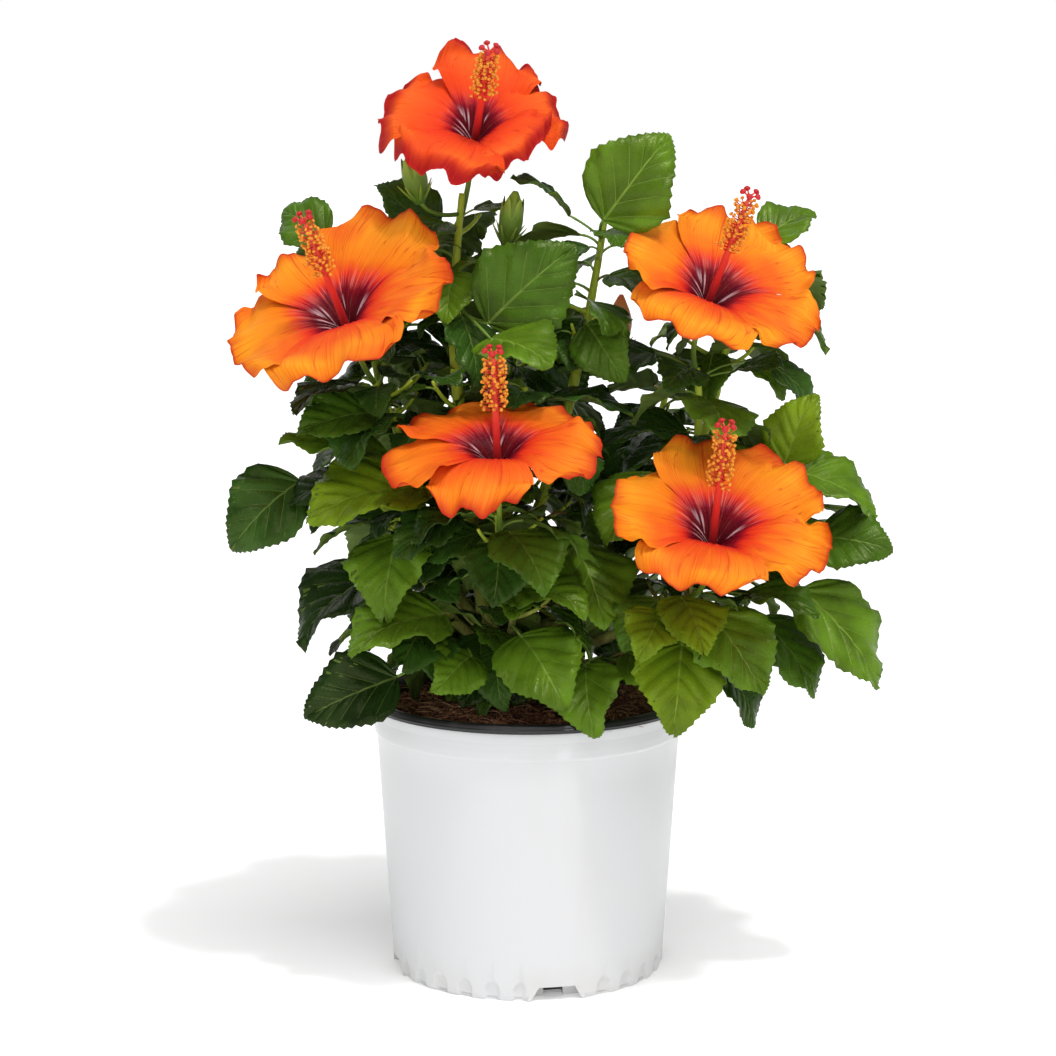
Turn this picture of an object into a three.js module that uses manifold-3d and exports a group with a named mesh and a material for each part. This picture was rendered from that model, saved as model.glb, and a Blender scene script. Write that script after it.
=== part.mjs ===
// Hibiscus shrub with five open blooms, growing in a nursery pot.
// Millimetres, +Z up, the shrub's front towards -Y. Origin: middle of the pot's flat underside.
import * as THREE from "three";
import { mergeVertices } from "three/addons/utils/BufferGeometryUtils.js";
import Module from "manifold-3d";

const wasm = await Module();
wasm.setup();

// ---- Driving dimensions ----
const GAP = 0.3; // clear space between touching pieces
const POT_HEIGHT = 186;
const LIP_RADIUS = 108;
const LIP_HEIGHT = 6;
const POT_TOP_RADIUS = 103.7;
const POT_FOOT_RADIUS = 90;
const WALL = 1.8; // white outer wall
const LINER_WALL = 1.5; // black inner wall
const BAND_HEIGHT = 18.5; // thicker band under the lip
const DRAIN = { count: 4, first: -78, depth: 12, wide: 36, narrow: 24, high: 9.5, hole: 13 };
const POT_SIDES = 32;
const SOIL_TOP = 181; // level ground round the trunk
const SOIL_EDGE = 174.5;
const LEAF_WIDTH = 0.8; // of its length
const LEAF_THICKNESS = 1.6;
const LEAF_ARCH = 0.3; // rise of the midrib over the chord, as a slope at the foot
const PETIOLE = 0.3; // of the leaf's length
const PETIOLE_RADIUS = 1.05;
const TWIG_RADIUS = 2.8;
const SPIRAL = 137.5; // degrees between one leaf and the next
const STEM_TIP = 2; // radius of a mass's stem at its end
const STEM_LEAVES = 14; // places for leaves up a stem
const TWIG_LEAVES = 7; // and up a side twig
const TWIGS_PER_MASS = 3;
const REACH = 125; // a mass keeps to the space within this distance of its own stem
const MARGIN = 0.8; // clear space round a leaf or twig
const PETAL_THICKNESS = 1.4;
const THROAT_DEPTH = 9; // petal roots below the eye
const CALYX_LENGTH = 36;

const COLOURS = {
  pot: [0xf2f2f0, 0.45],
  liner: [0x141414, 0.5],
  soil: [0x4a2a1b, 1],
  bark: [0x6f6a3a, 0.8],
  foliage: [0x3f6b1f, 0.5],
  petals: [0xf26a1b, 0.55],
  bud: [0x9aa64a, 0.55],
};

// ---- Vectors, curves and chance ----
const UP = new THREE.Vector3(0, 0, 1);
const vec = (p) => new THREE.Vector3(p[0], p[1], p[2]);
const rad = THREE.MathUtils.degToRad;
const lerp = THREE.MathUtils.lerp;
const arc = (from, via, tip) => new THREE.QuadraticBezierCurve3(from, via, tip);

// Seeded numbers from 0 to 1 (mulberry32).
function chance(seed) {
  let state = seed >>> 0;
  return () => {
    state = (state + 0x6d2b79f5) >>> 0;
    let t = Math.imul(state ^ (state >>> 15), state | 1);
    t ^= t + Math.imul(t ^ (t >>> 7), t | 61);
    return ((t ^ (t >>> 14)) >>> 0) / 4294967296;
  };
}

// A level direction at an azimuth, lifted by an angle.
function heading(azimuth, lift) {
  const level = Math.cos(rad(lift));
  return new THREE.Vector3(
    level * Math.cos(rad(azimuth)),
    level * Math.sin(rad(azimuth)),
    Math.sin(rad(lift)),
  );
}

// ---- Solids ----
function solidOf(geometry) {
  const bare = geometry.clone();
  bare.deleteAttribute("normal");
  bare.deleteAttribute("uv");
  const merged = mergeVertices(bare, 1e-4);
  return new wasm.Manifold(
    new wasm.Mesh({
      numProp: 3,
      vertProperties: merged.attributes.position.array,
      triVerts: new Uint32Array(merged.index.array),
    }),
  );
}

function geometryOf(solid) {
  const mesh = solid.getMesh();
  const geometry = new THREE.BufferGeometry();
  geometry.setAttribute("position", new THREE.BufferAttribute(mesh.vertProperties, 3));
  geometry.setIndex(new THREE.BufferAttribute(mesh.triVerts, 1));
  geometry.computeVertexNormals();
  return geometry;
}

const joined = (solids) => wasm.Manifold.union(solids);

// The largest body of a solid, without the scraps that a cut leaves.
function largest(solid) {
  return solid.decompose().reduce((a, b) => (b.volume() > a.volume() ? b : a));
}

function boxesMeet(a, b) {
  return [0, 1, 2].every((k) => a.min[k] <= b.max[k] && b.min[k] <= a.max[k]);
}

function touch(a, b) {
  return boxesMeet(a.boundingBox(), b.boundingBox()) && a.intersect(b).volume() > 1e-6;
}

// A tapering limb: a cylinder whose rings are laid square across a curve.
function limb(curve, radius, sides, steps) {
  const geometry = new THREE.CylinderGeometry(1, 1, 1, sides, steps);
  const position = geometry.attributes.position;
  const chord = curve.getPoint(1).sub(curve.getPoint(0)).normalize();
  const guide = Math.abs(chord.y) < 0.8 ? new THREE.Vector3(0, 1, 0) : new THREE.Vector3(1, 0, 0);
  for (let i = 0; i < position.count; i++) {
    const t = position.getY(i) + 0.5;
    const along = curve.getTangent(t);
    const across = guide.clone().cross(along).normalize();
    const other = across.clone().cross(along);
    const r = radius(t);
    const point = curve.getPoint(t);
    point.addScaledVector(across, r * position.getX(i));
    point.addScaledVector(other, r * position.getZ(i));
    position.setXYZ(i, point.x, point.y, point.z);
  }
  return solidOf(geometry);
}

const taper = (root, tip) => (t) => lerp(root, tip, t);

// A blade: rows of points from edge to edge, closed by a first and a last point. Its inner points lie
// half the thickness over and under the blade's own surface, and its edge is sharp.
function blade(first, rows, last, thickness) {
  const points = [first, last];
  const over = [];
  const under = [];
  for (const row of rows) {
    const edge = row.length - 1;
    const place = (shift) =>
      row.map((p, k) => {
        const rim = k === 0 || k === edge;
        if (rim && shift < 0) return over.at(-1)[k];
        return points.push(rim ? p : p.clone().addScaledVector(UP, shift)) - 1;
      });
    over.push(place(thickness / 2));
    under.push(place(-thickness / 2));
  }
  const faces = [];
  const skin = (side, flip) => {
    const face = (a, b, c) => faces.push(...(flip ? [a, c, b] : [a, b, c]));
    side.forEach((row, r) => {
      for (let k = 0; k + 1 < row.length; k++) {
        if (r === 0) face(0, row[k + 1], row[k]);
        if (r === side.length - 1) face(1, row[k], row[k + 1]);
        if (r + 1 < side.length) {
          face(row[k], row[k + 1], side[r + 1][k]);
          face(row[k + 1], side[r + 1][k + 1], side[r + 1][k]);
        }
      }
    });
  };
  skin(over, false);
  skin(under, true);
  const geometry = new THREE.BufferGeometry().setFromPoints(points);
  geometry.setIndex(faces);
  return geometry;
}

// ---- Pot ----
// A profile of radius and height, turned round the pot's axis.
function turned(profile) {
  const points = profile.map(([r, z]) => new THREE.Vector2(r, z));
  return new THREE.LatheGeometry(points, POT_SIDES).rotateX(Math.PI / 2);
}

// The inner radius of the white wall at a height.
const boreAt = (z) => lerp(POT_FOOT_RADIUS - WALL, POT_TOP_RADIUS - 4.5, (z - WALL) / 156);

// A wedge that runs outwards along the pot's floor: narrower at its top.
function wedge(azimuth, wide, narrow, low, high, inner, outer) {
  const shape = new THREE.Shape([
    new THREE.Vector2(-wide / 2, low),
    new THREE.Vector2(wide / 2, low),
    new THREE.Vector2(narrow / 2, high),
    new THREE.Vector2(-narrow / 2, high),
  ]);
  const geometry = new THREE.ExtrudeGeometry(shape, { depth: outer - inner, bevelEnabled: false });
  const out = heading(azimuth, 0);
  const across = UP.clone().cross(out);
  geometry.applyMatrix4(new THREE.Matrix4().makeBasis(across, UP, out));
  return solidOf(geometry.translate(out.x * inner, out.y * inner, 0));
}

function potShell() {
  const neck = POT_HEIGHT - LIP_HEIGHT;
  const band = neck - BAND_HEIGHT;
  let shell = solidOf(
    turned([
      [0, 0],
      [POT_FOOT_RADIUS, 0],
      [POT_FOOT_RADIUS + 0.8, 12],
      [POT_FOOT_RADIUS + 1.6, 13.5],
      [POT_TOP_RADIUS - 2.7, band - 1],
      [POT_TOP_RADIUS - 1.1, band],
      [POT_TOP_RADIUS - 0.8, neck - 7.2],
      [POT_TOP_RADIUS - 0.2, neck - 5.8],
      [POT_TOP_RADIUS, neck - GAP],
      [POT_TOP_RADIUS - 2.2, neck - GAP],
      [POT_TOP_RADIUS - 2.6, band + 1.5],
      [boreAt(158), 158],
      [boreAt(WALL), WALL],
      [0, WALL],
    ]),
  );
  const d = DRAIN;
  const inside = POT_FOOT_RADIUS - 0.4;
  const within = solidOf(turned([[0, 0.6], [inside, 0.6], [inside + 0.4, 14], [0, 14]]));
  for (let k = 0; k < d.count; k++) {
    const azimuth = d.first + (360 / d.count) * k;
    const inner = POT_FOOT_RADIUS - d.depth;
    const more = 2 * WALL;
    const roof = d.high + WALL;
    const housing = wedge(azimuth, d.wide + more, d.narrow + more, 0.3, roof, inner - WALL, inner + 20);
    const notch = wedge(azimuth, d.wide, d.narrow, -2, d.high, inner, inner + 30);
    const hole = wedge(azimuth, d.hole, d.hole, -3, d.high - 2.5, inner - 3 * WALL, inner + 1);
    shell = shell.add(housing.intersect(within)).subtract(notch.add(hole));
  }
  return shell;
}

const LINER_FLOOR = DRAIN.high + WALL + 2 * GAP;

function potLiner() {
  const neck = POT_HEIGHT - LIP_HEIGHT;
  const band = neck - BAND_HEIGHT;
  return solidOf(
    turned([
      [0, LINER_FLOOR],
      [boreAt(LINER_FLOOR) - GAP, LINER_FLOOR],
      [boreAt(158) - GAP, 158.2],
      [POT_TOP_RADIUS - 2.9, band + 1.7],
      [POT_TOP_RADIUS - 2.5, neck],
      [LIP_RADIUS - 0.9, neck],
      [LIP_RADIUS, neck + 1.2],
      [LIP_RADIUS, POT_HEIGHT - 1.6],
      [LIP_RADIUS - 1.3, POT_HEIGHT],
      [POT_TOP_RADIUS - 2.2, POT_HEIGHT],
      [POT_TOP_RADIUS - 3.9, POT_HEIGHT - 1.4],
      [POT_TOP_RADIUS - 2.9 - LINER_WALL, band + 2.2],
      [boreAt(158) - GAP - LINER_WALL, 158.7],
      [boreAt(LINER_FLOOR) - GAP - LINER_WALL, LINER_FLOOR + LINER_WALL],
      [0, LINER_FLOOR + LINER_WALL],
    ]),
  );
}

function soilGeometry() {
  const floor = LINER_FLOOR + LINER_WALL + GAP;
  const edge = POT_TOP_RADIUS - 2.9 - LINER_WALL - GAP;
  const geometry = turned([
    [0, floor],
    [boreAt(floor) - LINER_WALL - 2 * GAP, floor],
    [boreAt(158) - LINER_WALL - 2 * GAP, 159],
    [edge, 164.2],
    [edge, SOIL_EDGE],
    [88, SOIL_EDGE + 2.5],
    [72, SOIL_TOP - 1.5],
    [42, SOIL_TOP],
    [0, SOIL_TOP],
  ]);
  const position = geometry.attributes.position;
  for (let i = 0; i < position.count; i++) {
    const x = position.getX(i);
    const y = position.getY(i);
    const z = position.getZ(i);
    const r = Math.hypot(x, y);
    if (z > SOIL_EDGE + 1 && r > 50) {
      const clods = Math.sin(x * 0.11 + 1) * Math.cos(y * 0.13) + 0.6 * Math.sin(x * 0.31 - y * 0.27);
      position.setZ(i, z + 1.3 * clods);
    }
  }
  return geometry;
}

// ---- Trunk and boughs ----
// Each limb starts inside its parent at a share of the parent's length and is cut GAP clear of it.
const TRUNK = {
  from: [-20, -8, SOIL_TOP + GAP], via: [-20, -8, 210], tip: [-28, -20, 240],
  root: 9, end: 6.2,
};
const BOUGHS = [
  {
    name: "bough_top", on: "trunk", at: 1, via: [-42, -42, 330], tip: [-48, -18, 420],
    root: 4.8, end: 3.6,
  },
  {
    name: "bough_shoot", on: "trunk", at: 0.94, via: [8, 8, 290], tip: [32, 4, 400],
    root: 4.2, end: 3.3,
  },
  {
    name: "bough_back", on: "trunk", at: 0.9, via: [-30, 40, 290], tip: [-14, 62, 360],
    root: 4.2, end: 3.2,
  },
  {
    name: "bough_centre", on: "trunk", at: 0.82, via: [-14, -62, 250], tip: [-18, -78, 290],
    root: 3.6, end: 3,
  },
  {
    name: "bough_left", on: "trunk", at: 0.84, via: [-66, -14, 262], tip: [-80, -20, 345],
    root: 4.4, end: 3.2,
  },
  {
    name: "bough_right", on: "trunk", at: 0.74, via: [70, -2, 235], tip: [110, -12, 335],
    root: 4.6, end: 3.4,
  },
  {
    name: "bough_back_left", on: "trunk", at: 0.7, via: [-52, 40, 250], tip: [-76, 66, 310],
    root: 4, end: 3,
  },
  {
    name: "bough_left_low", on: "trunk", at: 0.62, via: [-56, -24, 236], tip: [-72, -40, 280],
    root: 3.8, end: 2.9,
  },
  {
    name: "bough_back_right", on: "trunk", at: 0.58, via: [30, 44, 235], tip: [66, 74, 300],
    root: 4.2, end: 3.1,
  },
  {
    name: "bough_right_low", on: "trunk", at: 0.48, via: [34, -36, 214], tip: [84, -56, 250],
    root: 4, end: 3,
  },
  {
    name: "bough_mid", on: "bough_top", at: 0.28, via: [-8, -14, 300], tip: [-4, -14, 338],
    root: 3.2, end: 2.7,
  },
  {
    name: "bough_left_back", on: "bough_left", at: 0.5, via: [-92, 14, 310], tip: [-96, 20, 375],
    root: 3.2, end: 2.7,
  },
  {
    name: "bough_right_back", on: "bough_right", at: 0.6, via: [104, 26, 300], tip: [126, 24, 385],
    root: 3.3, end: 2.7,
  },
  {
    name: "bough_right_outer", on: "bough_right", at: 0.42, via: [112, -26, 236], tip: [150, -30, 275],
    root: 3.3, end: 2.7,
  },
];

// ---- Foliage masses ----
// stem: from the bough's tip (or the trunk at a share of its length) by way of a point to its own tip.
// leaves and size: how many the rule may set, and how long a full one is. leading: the outer leaves that
// give the shrub its outline, each as [x, y, z of its foot, azimuth, droop, length, roll].
const MASSES = [
  {
    name: "foliage_crown", on: "bough_top", via: [-49, -6, 460], tip: [-43, 4, 516],
    seed: 711, leaves: 9, size: 60,
    leading: [
      [-62, 10, 486, 205, -40, 54, -78],
      [-22, 14, 524, 350, -15, 58, 10],
      [-26, -42, 434, 354, -45, 76, 86],
      [-24, -58, 426, 310, 12, 60, 20],
    ],
  },
  {
    name: "foliage_mid", on: "bough_mid", via: [-2, -20, 360], tip: [-2, -26, 392],
    seed: 812, leaves: 10, size: 62,
    leading: [
      [-6, -45, 389, 348, -14, 76, 53],
    ],
  },
  {
    name: "foliage_left_upper", on: "bough_left", via: [-86, -26, 372], tip: [-100, -36, 398],
    seed: 813, leaves: 9, size: 62,
    leading: [
      [-100, -50, 378, 210, 10, 54, -35],
      [-56, -36, 376, 205, -34, 62, -40],
      [-89, -38, 347, 192, -10, 73, -15],
    ],
  },
  {
    name: "foliage_left_back", on: "bough_left_back", via: [-104, 18, 420], tip: [-116, 8, 470],
    seed: 14, leaves: 11, size: 60,
    leading: [[-131, -12, 487, 145, -26, 42, -45]],
  },
  {
    name: "foliage_shoot", on: "bough_shoot", via: [42, 0, 445], tip: [50, -4, 500],
    seed: 15, leaves: 8, size: 58,
    leading: [
      [48, -22, 499, 346, -50, 70, 92],
      [27, -14, 502, 190, -38, 46, 0],
      [38, -22, 433, 312, 42, 50, 46],
    ],
  },
  {
    name: "foliage_right_upper", on: "bough_right", via: [113, -16, 370], tip: [110, -18, 404],
    seed: 816, leaves: 8, size: 58,
    leading: [
      [134, -20, 402, 312, -8, 42, 22],
      [159, -10, 405, 356, 42, 40, 30],
      [84, 4, 412, 197, 12, 54, -22],
      [105, -2, 360, 198, 2, 60, -28],
    ],
  },
  {
    name: "foliage_right_back", on: "bough_right_back", via: [134, 22, 430], tip: [148, 8, 472],
    seed: 117, leaves: 11, size: 58,
    leading: [[154, 8, 486, 25, -25, 44, 40]],
  },
  {
    name: "foliage_centre", on: "bough_centre", via: [-18, -82, 304], tip: [-19, -86, 318],
    seed: 418, leaves: 8, size: 56,
    leading: [
      [-12, -84, 318, 313, 20, 58, 25],
      [-44, -78, 316, 215, 24, 54, -5],
    ],
  },
  {
    name: "foliage_right_lower", on: "bough_right_low", via: [98, -64, 258], tip: [108, -72, 264],
    seed: 19, leaves: 8, size: 60,
    leading: [
      [139, -60, 262, 320, 6, 56, 18],
      [82, -40, 338, 226, 42, 62, -2],
      [84, -92, 256, 252, 28, 46, -18],
    ],
  },
  {
    name: "foliage_right_outer", on: "bough_right_outer", via: [162, -32, 300], tip: [168, -30, 336],
    seed: 820, leaves: 10, size: 58,
    leading: [
      [179, -40, 338, 354, 30, 55, 30],
      [186, -40, 296, 337, 6, 52, 38],
      [167, -24, 342, 338, -70, 50, 105],
      [176, -50, 264, 349, 50, 83, 42],
    ],
  },
  {
    name: "foliage_left_lower", on: "bough_left_low", via: [-86, -44, 305], tip: [-104, -34, 330],
    seed: 621, leaves: 11, size: 62,
    leading: [
      [-66, -52, 330, 208, 8, 84, -17],
      [-148, -25, 331, 198, 38, 64, -42],
      [-80, -22, 320, 190, 8, 60, -40],
    ],
  },
  {
    name: "foliage_left_base", on: "trunk", at: 0.5, via: [-56, -30, 216], tip: [-86, -40, 248],
    seed: 722, leaves: 9, size: 60,
    leading: [
      [-96, -30, 272, 210, 32, 74, -22],
      [-54, -70, 251, 217, 10, 76, -32],
      [-36, -66, 223, 236, 18, 46, -28],
      [-84, -60, 208, 190, 24, 66, -56],
    ],
  },
  {
    name: "foliage_front_base", on: "trunk", at: 0.36, via: [-10, -44, 216], tip: [-8, -60, 276],
    seed: 323, leaves: 8, size: 58,
    leading: [
      [-5, -75, 238, 304, 34, 64, 20],
      [-20, -62, 225, 273, 53, 42, 3],
      [-12, -74, 270, 328, 8, 60, 34],
      [30, -42, 292, 292, 44, 68, -10],
    ],
  },
  {
    name: "foliage_right_base", on: "trunk", at: 0.3, via: [40, -50, 200], tip: [98, -66, 240],
    seed: 324, leaves: 10, size: 58,
    leading: [
      [98, -85, 235, 258, 50, 64, -4],
      [100, -72, 238, 325, 31, 42, 28],
      [114, -85, 256, 317, 48, 66, 28],
      [126, -50, 214, 335, 58, 46, 4],
      [150, -44, 244, 330, 48, 64, 15],
    ],
  },
  {
    name: "foliage_back_left", on: "bough_back_left", via: [-88, 80, 340], tip: [-92, 84, 385],
    seed: 325, leaves: 14, size: 64, leading: [],
  },
  {
    name: "foliage_back", on: "bough_back", via: [-10, 74, 395], tip: [-6, 70, 440],
    seed: 526, leaves: 15, size: 64, leading: [],
  },
  {
    name: "foliage_back_right", on: "bough_back_right", via: [84, 88, 330], tip: [96, 84, 380],
    seed: 227, leaves: 14, size: 64, leading: [],
  },
  {
    name: "foliage_back_base_left", on: "trunk", at: 0.42, via: [-56, 30, 208], tip: [-84, 62, 246],
    seed: 128, leaves: 12, size: 62, leading: [],
  },
  {
    name: "foliage_back_base_right", on: "trunk", at: 0.38, via: [24, 36, 204], tip: [72, 70, 240],
    seed: 29, leaves: 14, size: 62, leading: [],
  },
];

// ---- Blooms and buds ----
// throat: where the column leaves the eye. axis: the way the bloom faces. stigma: the column's end.
// turn: azimuth of the first petal round the axis. span: across the open petals. For each petal, nod is
// the droop of its end, reach and wide are its length and breadth against the span, and splay is how far
// it stands from its even place round the axis.
const BLOOMS = [
  {
    name: "bloom_top", on: "foliage_crown", at: 0.8, throat: [-34, -15, 553],
    axis: [0.12, -0.62, 0.78], stigma: [-24, -60, 606], turn: 20, span: 132,
    nod: [10, -2, 14, 6, 4], reach: [0.95, 1.06, 0.98, 0.95, 0.7],
    wide: [0.8, 0.88, 1, 0.95, 0.85], splay: [8, -9, 0, 8, 16],
  },
  {
    name: "bloom_left", on: "foliage_left_upper", at: 0.95, throat: [-116, -62, 436],
    axis: [-0.3, -0.5, 0.8], stigma: [-138, -100, 503], turn: 54, span: 150,
    nod: [0, 6, 14, 10, 2], reach: [1.05, 0.9, 0.95, 0.97, 1.06],
    wide: [1, 0.8, 1, 1, 0.67], splay: [6, -10, -4, 3, 3],
  },
  {
    name: "bloom_right", on: "foliage_right_upper", at: 0.95, throat: [116, -42, 450],
    axis: [0.25, -0.5, 0.82], stigma: [138, -80, 517], turn: 22, span: 134,
    nod: [2, 0, 4, 12, 6], reach: [1.06, 1, 0.9, 0.96, 1.08],
    wide: [0.85, 0.85, 1, 1.02, 0.72], splay: [18, -14, -2, 10, 14],
  },
  {
    name: "bloom_centre", on: "foliage_centre", at: 0.6, throat: [-19, -112, 355],
    axis: [-0.03, -0.3, 0.95], stigma: [-21, -142, 424], turn: 50, span: 142,
    nod: [19, 19, 26, 28, 20], reach: [0.95, 1, 0.98, 0.98, 0.9],
    wide: [0.8, 0.85, 0.85, 0.76, 0.85], splay: [-4, 10, -4, -8, 4],
  },
  {
    name: "bloom_lower", on: "foliage_right_lower", at: 0.6, throat: [116, -100, 303],
    axis: [0.1, -0.5, 0.86], stigma: [120, -140, 379], turn: 26, span: 148,
    nod: [2, 2, 8, 12, 8], reach: [0.98, 0.96, 0.88, 0.9, 0.98],
    wide: [0.85, 0.85, 0.95, 0.92, 0.66], splay: [16, -6, 4, 13, 18],
  },
];
const BUDS = [
  {
    name: "bud_crown_left", on: "foliage_crown", at: 0.88,
    foot: [-70, -20, 512], tip: [-76, -26, 543], radius: 9,
  },
  {
    name: "bud_crown_right", on: "foliage_crown", at: 0.35,
    foot: [-14, -14, 484], tip: [-8, -18, 518], radius: 9,
  },
  {
    name: "bud_orange", on: "foliage_shoot", at: 0.1,
    foot: [60, 28, 412], tip: [62, 25, 449], radius: 9,
  },
];

const limbs = new Map(); // name -> { curve, solid, wide } of the trunk, boughs and stems

// The same limb GAP wider, to cut or test its neighbours with.
function addLimb(name, curve, radius, sides, steps) {
  const solid = limb(curve, radius, sides, steps);
  const wide = limb(curve, (t) => radius(t) + GAP, sides, steps);
  limbs.set(name, { curve, solid, wide, radius });
}

// A limb's curve from its parent: inside the parent's side, or GAP past its tip.
function growFrom(spec, parent, at) {
  const from = parent.curve.getPoint(at);
  if (at === 1) from.addScaledVector(parent.curve.getTangent(1), GAP);
  return arc(from, vec(spec.via), vec(spec.tip));
}

function growTrunkAndBoughs() {
  const flare = (t) => 1 + 0.75 * Math.exp(-t * 9);
  const trunkRadius = (t) => lerp(TRUNK.root, TRUNK.end, t) * flare(t);
  addLimb("trunk", arc(vec(TRUNK.from), vec(TRUNK.via), vec(TRUNK.tip)), trunkRadius, 10, 8);
  for (const b of BOUGHS) {
    const curve = growFrom(b, limbs.get(b.on), b.at);
    const radius = taper(b.root, b.end);
    const others = [...limbs.values()].map((l) => l.wide);
    addLimb(b.name, curve, radius, 5, 5);
    const own = limbs.get(b.name);
    own.solid = largest(own.solid.subtract(joined(others)));
  }
}

// ---- Leaves ----
// Share of the full half width at a share of the length.
const leafWidth = (s) => Math.pow(Math.sin(Math.PI * Math.pow(s, 0.72)), 0.75);

// Faces over a leaf's points: its stalk's two rings of three, then rows of four, then its tip.
function leafFaces(rows) {
  const faces = [[0, 2, 1], [0, 1, 4], [0, 4, 3], [1, 2, 5], [1, 5, 4], [2, 0, 3], [2, 3, 5]];
  faces.push([3, 4, 7], [3, 7, 6], [4, 8, 7], [3, 6, 9], [3, 9, 5], [5, 9, 4], [4, 9, 8]);
  for (let r = 0; r < rows; r++) {
    const [left, over, right, under] = [6, 7, 8, 9].map((k) => k + 4 * r);
    if (r + 1 < rows) {
      faces.push([left, over, over + 4], [left, over + 4, left + 4], [over, right, right + 4]);
      faces.push([over, right + 4, over + 4], [left, under + 4, under], [left, left + 4, under + 4]);
      faces.push([under, right + 4, right], [under, under + 4, right + 4]);
    } else {
      const tip = 6 + 4 * rows;
      faces.push([left, over, tip], [over, right, tip], [left, tip, under], [under, tip, right]);
    }
  }
  return faces.flat();
}

// The leaf's own directions: across, along and out of its face.
function leafFrame(leaf) {
  const along = heading(leaf.azimuth, -leaf.droop);
  const level = heading(leaf.azimuth, 90 - leaf.droop);
  const face = level.clone().multiplyScalar(Math.cos(rad(leaf.roll)));
  face.addScaledVector(along.clone().cross(level), Math.sin(rad(leaf.roll)));
  return { across: along.clone().cross(face), along, face };
}

// A leaf on its stalk, as one body. Grown, it is that much larger all round; its stalk starts at a share
// of the way from the twig's middle.
function leafSolid(leaf, grown, start = 0) {
  const { across, along, face } = leafFrame(leaf);
  const root = leaf.from.clone().lerp(leaf.foot, start);
  const stalk = leaf.foot.clone().sub(leaf.from).normalize();
  const mean = stalk.clone().add(along).normalize();
  const points = [];
  const ring = (centre, towards, radius) => {
    const turn = new THREE.Quaternion().setFromUnitVectors(along, towards);
    for (const [x, z] of [[-1, 0.6], [1, 0.6], [0, -1]]) {
      const corner = across.clone().multiplyScalar(x).addScaledVector(face, z).applyQuaternion(turn);
      points.push(centre.clone().addScaledVector(corner, radius));
    }
  };
  ring(root, stalk, PETIOLE_RADIUS + grown);
  ring(leaf.foot, mean, 0.8 * PETIOLE_RADIUS + grown);
  const length = leaf.length + grown;
  const at = (x, y, z) =>
    leaf.foot.clone().addScaledVector(across, x).addScaledVector(along, y).addScaledVector(face, z);
  const rows = leaf.leading ? [0.25, 0.62] : [0.42];
  for (const s of rows) {
    const half = ((LEAF_WIDTH * leaf.length) / 2) * leafWidth(s) + grown;
    const mid = LEAF_ARCH * length * s * (1 - s);
    const skin = LEAF_THICKNESS / 2 + grown;
    const edge = mid + leaf.fold * half;
    points.push(at(-half, length * s, edge), at(0, length * s, mid + skin));
    points.push(at(half, length * s, edge), at(0, length * s, mid - skin));
  }
  points.push(at(0, length, 0));
  const geometry = new THREE.BufferGeometry().setFromPoints(points);
  return solidOf(geometry.setIndex(leafFaces(rows.length)));
}

// Leading leaves sit on the stem's nearest point that is not above their foot.
function leadingLeaves(mass, stem, random) {
  return mass.leading.map(([x, y, z, azimuth, droop, length, roll]) => {
    const foot = new THREE.Vector3(x, y, z);
    let from = stem.getPoint(0.3);
    for (let k = 1; k <= 16; k++) {
      const point = stem.getPoint(0.3 + (0.58 * k) / 16);
      if (point.z < z && point.distanceTo(foot) < from.distanceTo(foot)) from = point;
    }
    return { foot, from, azimuth, droop, length, roll, fold: 0.05 + 0.2 * random(), leading: true };
  });
}

// Leaves in a spiral up a stem or twig, lower ones drooping, upper ones rising.
function spiralLeaves(axis, count, start, size, random) {
  const leaves = [];
  for (let k = 0; k < count; k++) {
    const t = 0.15 + (0.83 * (k + 0.5)) / count;
    const azimuth = start + SPIRAL * k + 24 * (random() - 0.5);
    const droop = lerp(52, 4, t) + 30 * (random() - 0.5);
    const length = size * (0.72 + 0.36 * random()) * (t > 0.85 ? 0.72 : 1);
    const roll = 44 * (random() - 0.5);
    const fold = 0.02 + 0.24 * random();
    const from = axis.getPoint(t);
    const stalk = PETIOLE * length * (0.8 + 0.5 * random());
    const foot = from.clone().addScaledVector(heading(azimuth, 38 - 0.5 * droop), stalk);
    leaves.push({ foot, from, azimuth, droop, length, roll, fold });
  }
  return leaves;
}

// Side twigs leave the stem in a spiral and turn up at their ends.
function sideTwigs(stem, count, start, size, random) {
  const twigs = [];
  for (let k = 0; k < count; k++) {
    const from = stem.getPoint(0.12 + (0.7 * (k + 0.5)) / count);
    const azimuth = start + 144 * k + 30 * (random() - 0.5);
    const length = size * (0.5 + 0.25 * random());
    const via = from.clone().addScaledVector(heading(azimuth, 12), 0.55 * length);
    const tip = via.clone().addScaledVector(heading(azimuth, 48), 0.6 * length);
    twigs.push({ curve: arc(from, via, tip), azimuth });
  }
  return twigs;
}

function growthOf(mass, stem) {
  const random = chance(mass.seed);
  const start = 360 * random();
  const leading = leadingLeaves(mass, stem, random);
  const twigs = sideTwigs(stem, TWIGS_PER_MASS, start + 60, mass.size, random);
  const leaves = spiralLeaves(stem, STEM_LEAVES, start, mass.size, random);
  for (const twig of twigs) {
    const grown = spiralLeaves(twig.curve, TWIG_LEAVES, twig.azimuth + 90, 0.92 * mass.size, random);
    leaves.push(...grown.map((leaf) => ({ ...leaf, twig })));
  }
  return { leading, twigs, leaves };
}

// ---- Assembly ----
const part = new THREE.Group();

function addNode(name, solid, colour) {
  const [hex, roughness] = COLOURS[colour];
  const material = new THREE.MeshStandardMaterial({ color: hex, roughness, metalness: 0 });
  const mesh = new THREE.Mesh(geometryOf(solid), material);
  mesh.name = name;
  part.add(mesh);
}

const shell = potShell();
const liner = potLiner();
const soil = solidOf(soilGeometry());
addNode("pot_shell", shell, "pot");
addNode("pot_liner", liner, "liner");
addNode("soil", soil, "soil");

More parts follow.
